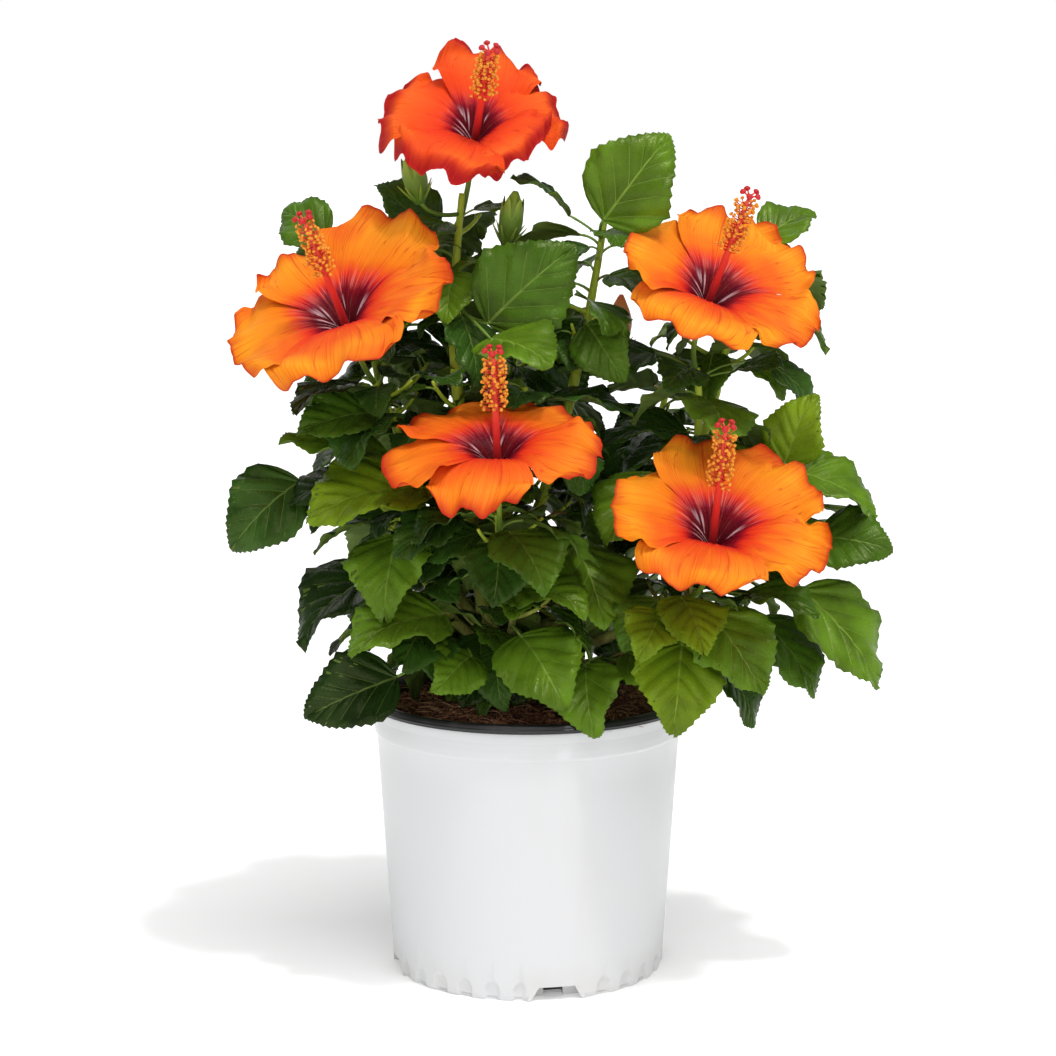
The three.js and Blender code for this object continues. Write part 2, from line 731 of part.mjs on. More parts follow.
growTrunkAndBoughs();
for (const [name, own] of limbs) addNode(name, own.solid, "bark");

// Stems of the masses.
for (const mass of MASSES) {
  const parent = limbs.get(mass.on);
  const at = mass.at ?? 1;
  const curve = growFrom(mass, parent, at);
  const root = mass.on === "trunk" ? 3.2 : parent.radius(1);
  const others = [...limbs.values()].map((l) => l.wide);
  addLimb(mass.name, curve, taper(root, STEM_TIP), 5, 3);
  const own = limbs.get(mass.name);
  own.solid = largest(own.solid.subtract(joined(others)));
}

// ---- Petals, columns and calyces ----
// A petal's surface in the bloom's frame: s from its root to its end, u from edge to edge.
function petalPoint(bloom, k, s, u) {
  const size = bloom.span / 2;
  const half = 0.57 * size * bloom.wide[k] * Math.sin(Math.PI * (0.05 + 0.6 * Math.pow(s, 1.4)));
  const along = size * bloom.reach[k] * s * (1 - 0.1 * u * u - 0.1 * Math.abs(s * u) ** 3);
  const rise = 0.36 * size * (1 - Math.exp(-4.5 * s)) - bloom.nod[k] * s * s + 3 * u * s;
  const turn = rad(bloom.turn + 72 * k + bloom.splay[k]);
  const x = along * Math.cos(turn) - half * u * Math.sin(turn);
  const y = along * Math.sin(turn) + half * u * Math.cos(turn);
  return new THREE.Vector3(x, y, rise - THROAT_DEPTH * (1 - s));
}

// The bloom's frame: its face along the axis, azimuth 0 to the shrub's right, 90 to its top.
function bloomFrame(bloom) {
  const face = vec(bloom.axis).normalize();
  const right = new THREE.Vector3(1, 0, 0).addScaledVector(face, -face.x).normalize();
  const place = new THREE.Matrix4().makeBasis(right, face.clone().cross(right), face);
  return place.setPosition(vec(bloom.throat));
}

function petalSolid(bloom, k, place) {
  const rows = [0.35, 0.82].map((s) => [-1, -0.4, 0.4, 1].map((u) => petalPoint(bloom, k, s, u)));
  rows.forEach((row) => row.reverse());
  const geometry = blade(petalPoint(bloom, k, 0, 0), rows, petalPoint(bloom, k, 1, 0), PETAL_THICKNESS);
  return solidOf(geometry.applyMatrix4(place));
}

// Red column, thick with anthers over its upper half, five pads at its end.
function columnRadius(t) {
  if (t > 0.95) return 3.5;
  return t > 0.52 && t < 0.9 ? 7.5 : 2.3;
}

function bloomSolid(bloom) {
  const place = bloomFrame(bloom);
  const throat = vec(bloom.throat);
  const face = vec(bloom.axis).normalize();
  const stem = limbs.get(bloom.on);
  const neck = throat.clone().addScaledVector(face, -CALYX_LENGTH);
  const from = stem.curve.getPoint(bloom.at);
  const via = neck.clone().addScaledVector(face, -0.4 * from.distanceTo(neck));
  const stalk = limb(arc(from, via, neck.clone().addScaledVector(face, 3)), taper(2.2, 1.9), 5, 3);
  const calyx = limb(
    arc(neck, neck.clone().lerp(throat, 0.5), throat),
    (t) => 2.2 + 6.5 * Math.sin(Math.PI * Math.min(1, 0.1 + 0.62 * t)),
    6,
    3,
  );
  const foot = throat.clone().addScaledVector(face, -THROAT_DEPTH);
  const end = vec(bloom.stigma);
  const bend = foot.clone().lerp(end, 0.5).addScaledVector(face, 4);
  const column = limb(arc(foot, bend, end), columnRadius, 4, 6);
  const petals = [0, 1, 2, 3, 4].map((k) => petalSolid(bloom, k, place));
  const cut = joined([...limbs.values()].map((l) => l.wide));
  return largest(joined([stalk, calyx, column, ...petals]).subtract(cut));
}

function budSolid(bud) {
  const stem = limbs.get(bud.on);
  const foot = vec(bud.foot);
  const tip = vec(bud.tip);
  const from = stem.curve.getPoint(bud.at);
  const via = foot.clone().addScaledVector(tip.clone().sub(foot), -0.4);
  const stalk = limb(arc(from, via, foot.clone().lerp(tip, 0.1)), taper(1.7, 1.5), 5, 3);
  const body = limb(
    arc(foot, foot.clone().lerp(tip, 0.5), tip),
    (t) => bud.radius * Math.pow(Math.sin(Math.PI * (0.08 + 0.86 * Math.pow(t, 0.85))), 0.8),
    6,
    5,
  );
  const cut = joined([...limbs.values()].map((l) => l.wide));
  return largest(joined([stalk, body]).subtract(cut));
}

const flowers = [];
for (const bloom of BLOOMS) {
  const solid = bloomSolid(bloom);
  flowers.push(solid);
  addNode(bloom.name, solid, "petals");
}
for (const bud of BUDS) {
  const solid = budSolid(bud);
  flowers.push(solid);
  addNode(bud.name, solid, "bud");
}

// ---- Setting the leaves ----
function nearStem(point, curve) {
  return [0, 0.25, 0.5, 0.75, 1].some((t) => curve.getPoint(t).distanceTo(point) < REACH);
}

const fixed = [shell, liner, soil, ...flowers];
const masses = MASSES.map((mass) => {
  const own = limbs.get(mass.name);
  return { mass, own, solids: [own.solid], blades: [], set: new Map(), ...growthOf(mass, own.curve) };
});

// Whether a grown copy of a new piece is clear of the limbs, pot, flowers and the other masses.
function isClear(grown, group) {
  if (fixed.some((s) => touch(s, grown))) return false;
  for (const [name, other] of limbs) {
    if (name !== group.mass.name && touch(other.solid, grown)) return false;
  }
  return !masses.some((m) => m !== group && m.solids.some((s) => touch(s, grown)));
}

function setLeaf(group, leaf) {
  const tip = leaf.foot.clone().addScaledVector(heading(leaf.azimuth, -leaf.droop), leaf.length);
  if (!nearStem(tip, group.own.curve)) return false;
  const free = leafSolid(leaf, 0, 0.6);
  if (group.blades.some((b) => touch(b, free))) return false;
  for (const [twig, solid] of group.set) {
    if (twig !== leaf.twig && touch(solid, free)) return false;
  }
  if (!isClear(leafSolid(leaf, MARGIN), group)) return false;
  group.blades.push(free);
  group.solids.push(leafSolid(leaf, 0));
  return true;
}

// A twig is set once, with the first of its leaves.
function setTwig(group, twig) {
  if (group.set.has(twig)) return true;
  const radius = taper(TWIG_RADIUS, 0.7 * TWIG_RADIUS);
  const grown = limb(twig.curve, (t) => radius(t) + MARGIN, 3, 2);
  const solid = limb(twig.curve, radius, 3, 2);
  if (group.blades.some((b) => touch(b, solid)) || !isClear(grown, group)) return false;
  group.set.set(twig, solid);
  group.solids.push(solid);
  return true;
}

for (const group of masses) {
  for (const leaf of group.leading) setLeaf(group, leaf);
}
for (const group of masses) {
  let left = group.mass.leaves;
  for (const leaf of group.leaves) {
    if (left === 0) break;
    if (leaf.twig && !setTwig(group, leaf.twig)) continue;
    if (setLeaf(group, leaf)) left -= 1;
  }
  addNode(group.mass.name, largest(joined(group.solids)), "foliage");
}

export default part;
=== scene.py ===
"""Looks of a hibiscus shrub with five open blooms, growing in a nursery pot.

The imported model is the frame. The boughs, twigs, leaves and blooms grow by the same rule and from the
same named places as the model's own, in millimetres, and are then carried to finer twigs and leaves.
Everything else is in metres.
"""

import math

import bpy
import numpy as np
from bpy.props import FloatProperty, FloatVectorProperty, IntProperty, PointerProperty
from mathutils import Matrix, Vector, noise


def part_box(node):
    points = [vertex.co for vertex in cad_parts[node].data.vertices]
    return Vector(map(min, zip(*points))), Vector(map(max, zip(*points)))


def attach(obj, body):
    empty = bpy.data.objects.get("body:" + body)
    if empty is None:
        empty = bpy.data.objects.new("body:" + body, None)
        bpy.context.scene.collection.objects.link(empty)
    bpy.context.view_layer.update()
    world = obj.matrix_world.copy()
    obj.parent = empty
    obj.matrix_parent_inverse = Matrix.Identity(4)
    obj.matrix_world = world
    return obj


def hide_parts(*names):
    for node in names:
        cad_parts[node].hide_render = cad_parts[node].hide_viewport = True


bl_info = {
    "name": "Potted hibiscus",
    "version": (1, 0, 0),
    "blender": (4, 5, 0),
    "location": "View3D > Sidebar > Hibiscus",
    "description": "Grows the looks of a hibiscus shrub in a nursery pot",
    "category": "Object",
}

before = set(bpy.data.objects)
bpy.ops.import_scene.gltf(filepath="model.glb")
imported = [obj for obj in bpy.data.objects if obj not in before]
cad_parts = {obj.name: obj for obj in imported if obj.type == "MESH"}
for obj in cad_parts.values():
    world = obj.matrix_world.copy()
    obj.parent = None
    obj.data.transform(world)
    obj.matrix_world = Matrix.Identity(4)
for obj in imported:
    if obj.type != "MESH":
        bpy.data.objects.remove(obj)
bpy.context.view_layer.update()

MM = 0.001
UP = np.array([0.0, 0.0, 1.0])

# ---- The shrub's plan, in millimetres ----
GAP = 0.3
SOIL_TOP = 181
LEAF_WIDTH = 0.8  # of its length
LEAF_ARCH = 0.3
PETIOLE = 0.3
SPIRAL = 137.5  # degrees between one leaf and the next
STEM_ROOT, STEM_TIP = 3.2, 2  # radii of a mass's stem; the first is for those on the trunk
STEM_LEAVES = 14
TWIG_LEAVES = 7
TWIGS_PER_MASS = 3
THROAT_DEPTH = 9
CALYX_LENGTH = 36
TRUNK = dict(
    foot=(-20, -8, SOIL_TOP + GAP), via=(-20, -8, 210), tip=(-28, -20, 240),
    root=9, end=6.2,
)

BOUGHS = [
    dict(
        name="bough_top", on="trunk", at=1, via=(-42, -42, 330), tip=(-48, -18, 420),
        root=4.8, end=3.6,
    ),
    dict(
        name="bough_shoot", on="trunk", at=0.94, via=(8, 8, 290), tip=(32, 4, 400),
        root=4.2, end=3.3,
    ),
    dict(
        name="bough_back", on="trunk", at=0.9, via=(-30, 40, 290), tip=(-14, 62, 360),
        root=4.2, end=3.2,
    ),
    dict(
        name="bough_centre", on="trunk", at=0.82, via=(-14, -62, 250), tip=(-18, -78, 290),
        root=3.6, end=3,
    ),
    dict(
        name="bough_left", on="trunk", at=0.84, via=(-66, -14, 262), tip=(-80, -20, 345),
        root=4.4, end=3.2,
    ),
    dict(
        name="bough_right", on="trunk", at=0.74, via=(70, -2, 235), tip=(110, -12, 335),
        root=4.6, end=3.4,
    ),
    dict(
        name="bough_back_left", on="trunk", at=0.7, via=(-52, 40, 250), tip=(-76, 66, 310),
        root=4, end=3,
    ),
    dict(
        name="bough_left_low", on="trunk", at=0.62, via=(-56, -24, 236), tip=(-72, -40, 280),
        root=3.8, end=2.9,
    ),
    dict(
        name="bough_back_right", on="trunk", at=0.58, via=(30, 44, 235), tip=(66, 74, 300),
        root=4.2, end=3.1,
    ),
    dict(
        name="bough_right_low", on="trunk", at=0.48, via=(34, -36, 214), tip=(84, -56, 250),
        root=4, end=3,
    ),
    dict(
        name="bough_mid", on="bough_top", at=0.28, via=(-8, -14, 300), tip=(-4, -14, 338),
        root=3.2, end=2.7,
    ),
    dict(
        name="bough_left_back", on="bough_left", at=0.5, via=(-92, 14, 310), tip=(-96, 20, 375),
        root=3.2, end=2.7,
    ),
    dict(
        name="bough_right_back", on="bough_right", at=0.6, via=(104, 26, 300), tip=(126, 24, 385),
        root=3.3, end=2.7,
    ),
    dict(
        name="bough_right_outer", on="bough_right", at=0.42, via=(112, -26, 236), tip=(150, -30, 275),
        root=3.3, end=2.7,
    ),
]

MASSES = [
    dict(
        name="foliage_crown", on="bough_top", via=(-49, -6, 460), tip=(-43, 4, 516),
        seed=711, leaves=9, size=60,
        leading=[
            (-62, 10, 486, 205, -40, 54, -78),
            (-22, 14, 524, 350, -15, 58, 10),
            (-26, -42, 434, 354, -45, 76, 86),
            (-24, -58, 426, 310, 12, 60, 20),
        ],
    ),
    dict(
        name="foliage_mid", on="bough_mid", via=(-2, -20, 360), tip=(-2, -26, 392),
        seed=812, leaves=10, size=62,
        leading=[
            (-6, -45, 389, 348, -14, 76, 53),
        ],
    ),
    dict(
        name="foliage_left_upper", on="bough_left", via=(-86, -26, 372), tip=(-100, -36, 398),
        seed=813, leaves=9, size=62,
        leading=[
            (-100, -50, 378, 210, 10, 54, -35),
            (-56, -36, 376, 205, -34, 62, -40),
            (-89, -38, 347, 192, -10, 73, -15),
        ],
    ),
    dict(
        name="foliage_left_back", on="bough_left_back", via=(-104, 18, 420), tip=(-116, 8, 470),
        seed=14, leaves=11, size=60,
        leading=[(-131, -12, 487, 145, -26, 42, -45)],
    ),
    dict(
        name="foliage_shoot", on="bough_shoot", via=(42, 0, 445), tip=(50, -4, 500),
        seed=15, leaves=8, size=58,
        leading=[
            (48, -22, 499, 346, -50, 70, 92),
            (27, -14, 502, 190, -38, 46, 0),
            (38, -22, 433, 312, 42, 50, 46),
        ],
    ),
    dict(
        name="foliage_right_upper", on="bough_right", via=(113, -16, 370), tip=(110, -18, 404),
        seed=816, leaves=8, size=58,
        leading=[
            (134, -20, 402, 312, -8, 42, 22),
            (159, -10, 405, 356, 42, 40, 30),
            (84, 4, 412, 197, 12, 54, -22),
            (105, -2, 360, 198, 2, 60, -28),
        ],
    ),
    dict(
        name="foliage_right_back", on="bough_right_back", via=(134, 22, 430), tip=(148, 8, 472),
        seed=117, leaves=11, size=58,
        leading=[(154, 8, 486, 25, -25, 44, 40)],
    ),
    dict(
        name="foliage_centre", on="bough_centre", via=(-18, -82, 304), tip=(-19, -86, 318),
        seed=418, leaves=8, size=56,
        leading=[
            (-12, -84, 318, 313, 20, 58, 25),
            (-44, -78, 316, 215, 24, 54, -5),
        ],
    ),
    dict(
        name="foliage_right_lower", on="bough_right_low", via=(98, -64, 258), tip=(108, -72, 264),
        seed=19, leaves=8, size=60,
        leading=[
            (139, -60, 262, 320, 6, 56, 18),
            (82, -40, 338, 226, 42, 62, -2),
            (84, -92, 256, 252, 28, 46, -18),
        ],
    ),
    dict(
        name="foliage_right_outer", on="bough_right_outer", via=(162, -32, 300), tip=(168, -30, 336),
        seed=820, leaves=10, size=58,
        leading=[
            (179, -40, 338, 354, 30, 55, 30),
            (186, -40, 296, 337, 6, 52, 38),
            (167, -24, 342, 338, -70, 50, 105),
            (176, -50, 264, 349, 50, 83, 42),
        ],
    ),
    dict(
        name="foliage_left_lower", on="bough_left_low", via=(-86, -44, 305), tip=(-104, -34, 330),
        seed=621, leaves=11, size=62,
        leading=[
            (-66, -52, 330, 208, 8, 84, -17),
            (-148, -25, 331, 198, 38, 64, -42),
            (-80, -22, 320, 190, 8, 60, -40),
        ],
    ),
    dict(
        name="foliage_left_base", on="trunk", at=0.5, via=(-56, -30, 216), tip=(-86, -40, 248),
        seed=722, leaves=9, size=60,
        leading=[
            (-96, -30, 272, 210, 32, 74, -22),
            (-54, -70, 251, 217, 10, 76, -32),
            (-36, -66, 223, 236, 18, 46, -28),
            (-84, -60, 208, 190, 24, 66, -56),
        ],
    ),
    dict(
        name="foliage_front_base", on="trunk", at=0.36, via=(-10, -44, 216), tip=(-8, -60, 276),
        seed=323, leaves=8, size=58,
        leading=[
            (-5, -75, 238, 304, 34, 64, 20),
            (-20, -62, 225, 273, 53, 42, 3),
            (-12, -74, 270, 328, 8, 60, 34),
            (30, -42, 292, 292, 44, 68, -10),
        ],
    ),
    dict(
        name="foliage_right_base", on="trunk", at=0.3, via=(40, -50, 200), tip=(98, -66, 240),
        seed=324, leaves=10, size=58,
        leading=[
            (98, -85, 235, 258, 50, 64, -4),
            (100, -72, 238, 325, 31, 42, 28),
            (114, -85, 256, 317, 48, 66, 28),
            (126, -50, 214, 335, 58, 46, 4),
            (150, -44, 244, 330, 48, 64, 15),
        ],
    ),
    dict(
        name="foliage_back_left", on="bough_back_left", via=(-88, 80, 340), tip=(-92, 84, 385),
        seed=325, leaves=14, size=64, leading=[],
    ),
    dict(
        name="foliage_back", on="bough_back", via=(-10, 74, 395), tip=(-6, 70, 440),
        seed=526, leaves=15, size=64, leading=[],
    ),
    dict(
        name="foliage_back_right", on="bough_back_right", via=(84, 88, 330), tip=(96, 84, 380),
        seed=227, leaves=14, size=64, leading=[],
    ),
    dict(
        name="foliage_back_base_left", on="trunk", at=0.42, via=(-56, 30, 208), tip=(-84, 62, 246),
        seed=128, leaves=12, size=62, leading=[],
    ),
    dict(
        name="foliage_back_base_right", on="trunk", at=0.38, via=(24, 36, 204), tip=(72, 70, 240),
        seed=29, leaves=14, size=62, leading=[],
    ),
]

BLOOMS = [
    dict(
        name="bloom_top", on="foliage_crown", at=0.8, throat=(-34, -15, 553),
        axis=(0.12, -0.62, 0.78), stigma=(-24, -60, 606), turn=20, span=132,
        nod=(10, -2, 14, 6, 4), reach=(0.95, 1.06, 0.98, 0.95, 0.7),
        wide=(0.8, 0.88, 1, 0.95, 0.85), splay=(8, -9, 0, 8, 16),
    ),
    dict(
        name="bloom_left", on="foliage_left_upper", at=0.95, throat=(-116, -62, 436),
        axis=(-0.3, -0.5, 0.8), stigma=(-138, -100, 503), turn=54, span=150,
        nod=(0, 6, 14, 10, 2), reach=(1.05, 0.9, 0.95, 0.97, 1.06),
        wide=(1, 0.8, 1, 1, 0.67), splay=(6, -10, -4, 3, 3),
    ),
    dict(
        name="bloom_right", on="foliage_right_upper", at=0.95, throat=(116, -42, 450),
        axis=(0.25, -0.5, 0.82), stigma=(138, -80, 517), turn=22, span=134,
        nod=(2, 0, 4, 12, 6), reach=(1.06, 1, 0.9, 0.96, 1.08),
        wide=(0.85, 0.85, 1, 1.02, 0.72), splay=(18, -14, -2, 10, 14),
    ),
    dict(
        name="bloom_centre", on="foliage_centre", at=0.6, throat=(-19, -112, 355),
        axis=(-0.03, -0.3, 0.95), stigma=(-21, -142, 424), turn=50, span=142,
        nod=(19, 19, 26, 28, 20), reach=(0.95, 1, 0.98, 0.98, 0.9),
        wide=(0.8, 0.85, 0.85, 0.76, 0.85), splay=(-4, 10, -4, -8, 4),
    ),
    dict(
        name="bloom_lower", on="foliage_right_lower", at=0.6, throat=(116, -100, 303),
        axis=(0.1, -0.5, 0.86), stigma=(120, -140, 379), turn=26, span=148,
        nod=(2, 2, 8, 12, 8), reach=(0.98, 0.96, 0.88, 0.9, 0.98),
        wide=(0.85, 0.85, 0.95, 0.92, 0.66), splay=(16, -6, 4, 13, 18),
    ),
]

BUDS = [
    dict(
        name="bud_crown_left", on="foliage_crown", at=0.88,
        foot=(-70, -20, 512), tip=(-76, -26, 543), radius=9,
    ),
    dict(
        name="bud_crown_right", on="foliage_crown", at=0.35,
        foot=(-14, -14, 484), tip=(-8, -18, 518), radius=9,
    ),
    dict(
        name="bud_orange", on="foliage_shoot", at=0.1,
        foot=(60, 28, 412), tip=(62, 25, 449), radius=9,
    ),
]

# Tints of each mass's leading leaves, from deep, 0, to light, 4: painted shade and light laid over the
# leaves' own greens.
LEADING_SHADED_TINTS = {
    "foliage_crown": (1, 1, 2, 3), "foliage_mid": (1,), "foliage_shoot": (3, 1, 2),
    "foliage_left_upper": (2, 3, 3), "foliage_left_back": (2,), "foliage_right_upper": (1, 1, 1, 1),
    "foliage_right_back": (3,), "foliage_centre": (3, 1), "foliage_right_lower": (2, 3, 4),
    "foliage_right_outer": (3, 2, 4, 3), "foliage_left_lower": (4, 1, 1), "foliage_left_base": (0, 3, 3, 0),
    "foliage_front_base": (3, 1, 3, 3), "foliage_right_base": (4, 3, 3, 1, 2),
}

# Ovals, seen from in front, that fine leaves stay out of: x, z and both half sizes.
OPEN = [(102, 384, 46, 17), (59, 448, 30, 26)]

# The drain notches round the pot's foot; first is an azimuth in degrees.
DRAIN = dict(count=4, first=-78, depth=12, wide=36, narrow=24, high=9.5, hole=13)

# The masses joined into one piece for each side.
GROUPS = {
    "upper": ["foliage_crown", "foliage_mid", "foliage_shoot", "foliage_left_back", "foliage_right_back"],
    "left": ["foliage_left_upper", "foliage_left_lower", "foliage_left_base", "foliage_centre"],
    "right": ["foliage_right_upper", "foliage_right_lower", "foliage_right_outer", "foliage_right_base"],
    "back": ["foliage_back", "foliage_back_left", "foliage_back_right", "foliage_back_base_left"],
    "base": ["foliage_front_base", "foliage_back_base_right"],
}


# ---- Chance, curves and directions ----
def chance(seed):
    """Seeded numbers from 0 to 1 (mulberry32), the same as the model's."""
    state = seed & 0xFFFFFFFF

    def draw():
        nonlocal state
        state = (state + 0x6D2B79F5) & 0xFFFFFFFF
        t = (state ^ (state >> 15)) * (state | 1) & 0xFFFFFFFF
        t ^= (t + ((t ^ (t >> 7)) * (t | 61) & 0xFFFFFFFF)) & 0xFFFFFFFF
        return ((t ^ (t >> 14)) & 0xFFFFFFFF) / 4294967296

    return draw


def lerp(a, b, t):
    return a + (b - a) * t


def smooth(low, high, x):
    """0 below low, 1 above high, and an even slope between."""
    t = np.clip((x - low) / (high - low), 0, 1)
    return t * t * (3 - 2 * t)


def unit(v):
    return v / np.linalg.norm(v, axis=-1, keepdims=True)


def heading(azimuth, lift):
    """A level direction at an azimuth, lifted by an angle, both in degrees."""
    a, b = math.radians(azimuth), math.radians(lift)
    return np.array([math.cos(b) * math.cos(a), math.cos(b) * math.sin(a), math.sin(b)])


def arc(foot, via, tip):
    return np.array([foot, via, tip], float)


def along_arc(curve, t):
    t = np.asarray(t, float)[..., None]
    return (1 - t) ** 2 * curve[0] + 2 * (1 - t) * t * curve[1] + t * t * curve[2]


def arc_heading(curve, t):
    return unit(2 * (1 - t) * (curve[1] - curve[0]) + 2 * t * (curve[2] - curve[1]))


def arc_points(foot, via, tip, count):
    return along_arc(arc(foot, via, tip), np.linspace(0, 1, count))


def arc_length(curve):
    points = along_arc(curve, np.linspace(0, 1, 20))
    return np.sum(np.linalg.norm(np.diff(points, axis=0), axis=1))


def from_trunk(x, y):
    """Distance from the trunk's foot."""
    return np.hypot(x - TRUNK["foot"][0], y - TRUNK["foot"][1])


# ---- Joined meshes ----
class Joined:
    """Points and faces of many small things, made into one mesh piece at the end."""

    def __init__(self):
        self.points, self.faces, self.looks, self.maps = [], [], [], []
        self.count = 0

    def add(self, points, faces, looks=0, places=None):
        """faces are arrays of point numbers; looks one material number, or one for each face."""
        points = np.asarray(points, float).reshape(-1, 3)
        looks = looks if isinstance(looks, (list, tuple)) else [looks] * len(faces)
        for group, look in zip(faces, looks):
            group = np.asarray(group, int)
            self.faces += (group + self.count).tolist()
            self.looks.append(np.broadcast_to(look, len(group)))
        self.points.append(points)
        if places is not None:
            self.maps.append(np.asarray(places, float).reshape(-1, 2))
        self.count += len(points)

    def make(self, name, materials, slot, nodes, flat=False):
        """One mesh object that rides with the plant and stands for the named nodes."""
        mesh = bpy.data.meshes.new(name)
        points = np.concatenate(self.points) * MM
        mesh.from_pydata(points.tolist(), [], self.faces)
        mesh.polygons.foreach_set("material_index", np.concatenate(self.looks).astype(np.int32))
        mesh.polygons.foreach_set("use_smooth", np.full(len(self.faces), not flat))
        if self.maps:
            corners = np.zeros(len(mesh.loops), np.int32)
            mesh.loops.foreach_get("vertex_index", corners)
            layer = mesh.uv_layers.new(name="place")
            layer.data.foreach_set("uv", np.concatenate(self.maps)[corners].ravel())
        for material in materials:
            mesh.materials.append(material)
        mesh.update()
        piece = bpy.data.objects.new(name, mesh)
        bpy.context.scene.collection.objects.link(piece)
        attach(piece, "root")
        if nodes:
            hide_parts(*nodes)
        return piece


def grid(rows, columns, wrap=False):
    """Faces over rows of points: quads, wrapped round where the rows are rings."""
    across = columns if wrap else columns - 1
    r, c = np.meshgrid(np.arange(rows - 1), np.arange(across), indexing="ij")
    right = (c + 1) % columns
    row, after = r * columns, (r + 1) * columns
    return np.stack([row + c, row + right, after + right, after + c], -1).reshape(-1, 4)


def tube(centres, radii, sides, guide=(0, 1, 0), turn=0.0):
    """Rings laid square across a line of points, closed at both ends. radii: one for each ring or point."""
    centres = np.asarray(centres, float)
    n = len(centres)
    ahead = unit(np.gradient(centres, axis=0))
    guide = np.asarray(guide, float)
    if abs(unit(centres[-1] - centres[0]) @ guide) > 0.85:
        guide = np.array([1.0, 0.0, 0.0])
    across = unit(np.cross(guide, ahead))
    other = np.cross(ahead, across)
    angles = np.linspace(0, 2 * np.pi, sides, endpoint=False) + turn
    radii = np.broadcast_to(np.asarray(radii, float).reshape(n, -1), (n, sides))
    rings = centres[:, None] + radii[..., None] * (
        np.cos(angles)[None, :, None] * across[:, None] + np.sin(angles)[None, :, None] * other[:, None]
    )
    points = np.concatenate([rings.reshape(-1, 3), centres[:1], centres[-1:]])
    ring = np.arange(sides)
    after = (ring + 1) % sides
    foot = np.stack([np.full(sides, n * sides), after, ring], -1)
    last = (n - 1) * sides
    tip = np.stack([np.full(sides, n * sides + 1), last + ring, last + after], -1)
    return points, [grid(n, sides, wrap=True), foot, tip]


# ---- The growth rule ----
def grow_limbs():
    """The curve and the radii of the trunk, each bough and each mass's stem."""
    curve = arc(TRUNK["foot"], TRUNK["via"], TRUNK["tip"])
    limbs = {"trunk": dict(curve=curve, root=TRUNK["root"], end=TRUNK["end"])}
    for spec in BOUGHS + MASSES:
        parent = limbs[spec["on"]]
        at = spec.get("at", 1)
        foot = along_arc(parent["curve"], at)
        if at == 1:
            foot = foot + GAP * arc_heading(parent["curve"], 1)
        root = spec.get("root", STEM_ROOT if spec["on"] == "trunk" else parent["end"])
        curve = arc(foot, spec["via"], spec["tip"])
        limbs[spec["name"]] = dict(curve=curve, root=root, end=spec.get("end", STEM_TIP))
    return limbs


def leading_leaves(mass, stem, random):
    leaves = []
    for x, y, z, azimuth, droop, length, roll in mass["leading"]:
        foot = np.array([x, y, z], float)
        places = [p for p in along_arc(stem, 0.3 + 0.58 * np.arange(1, 17) / 16) if p[2] < z]
        root = min([along_arc(stem, 0.3), *places], key=lambda p: np.linalg.norm(p - foot))
        fold = 0.05 + 0.2 * random()
        leaf = dict(foot=foot, root=root, azimuth=azimuth, droop=droop, length=length, roll=roll, fold=fold)
        leaves.append(dict(leaf, tint=LEADING_SHADED_TINTS[mass["name"]][len(leaves)]))
    return leaves


def spiral_leaves(axis, count, start, size, random):
    """Leaves in a spiral up a stem or twig, lower ones drooping, upper ones rising."""
    leaves = []
    for k in range(count):
        t = 0.15 + 0.83 * (k + 0.5) / count
        azimuth = start + SPIRAL * k + 24 * (random() - 0.5)
        droop = lerp(52, 4, t) + 30 * (random() - 0.5)
        length = size * (0.72 + 0.36 * random()) * (0.72 if t > 0.85 else 1)
        roll = 44 * (random() - 0.5)
        fold = 0.02 + 0.24 * random()
        root = along_arc(axis, t)
        stalk = PETIOLE * length * (0.8 + 0.5 * random())
        foot = root + stalk * heading(azimuth, 38 - 0.5 * droop)
        leaf = dict(foot=foot, root=root, azimuth=azimuth, droop=droop, length=length, roll=roll, fold=fold)
        leaves.append(leaf)
    return leaves


def side_twigs(stem, count, start, size, random):
    """Side twigs leave the stem in a spiral and turn up at their ends."""
    twigs = []
    for k in range(count):
        foot = along_arc(stem, 0.12 + 0.7 * (k + 0.5) / count)
        azimuth = start + 144 * k + 30 * (random() - 0.5)
        length = size * (0.5 + 0.25 * random())
        via = foot + 0.55 * length * heading(azimuth, 12)
        tip = via + 0.6 * length * heading(azimuth, 48)
        twigs.append(dict(curve=arc(foot, via, tip), azimuth=azimuth))
    return twigs


def growth_of(mass, stem):
    """The leaves of one mass, as the model grows them."""
    random = chance(mass["seed"])
    start = 360 * random()
    leaves = leading_leaves(mass, stem, random)
    twigs = side_twigs(stem, TWIGS_PER_MASS, start + 60, mass["size"], random)
    leaves += spiral_leaves(stem, STEM_LEAVES, start, mass["size"], random)
    for twig in twigs:
        grown = spiral_leaves(twig["curve"], TWIG_LEAVES, twig["azimuth"] + 90, 0.92 * mass["size"], random)
        leaves += [dict(leaf, twig=twig) for leaf in grown]
    return leaves


def leaf_frame(leaf):
    """The leaf's own directions: across, along and out of its face."""
    along = heading(leaf["azimuth"], -leaf["droop"])
    level = heading(leaf["azimuth"], 90 - leaf["droop"])
    roll = math.radians(leaf["roll"])
    face = level * math.cos(roll) + np.cross(along, level) * math.sin(roll)
    return np.cross(along, face), along, face


def leaf_tip(leaf):
    return leaf["foot"] + leaf["length"] * heading(leaf["azimuth"], -leaf["droop"])


def node_points(name):
    """A node's own points, in millimetres."""
    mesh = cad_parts[name].data
    points = np.zeros(len(mesh.vertices) * 3, np.float32)
    mesh.vertices.foreach_get("co", points)
    return points.reshape(-1, 3).astype(float) / MM


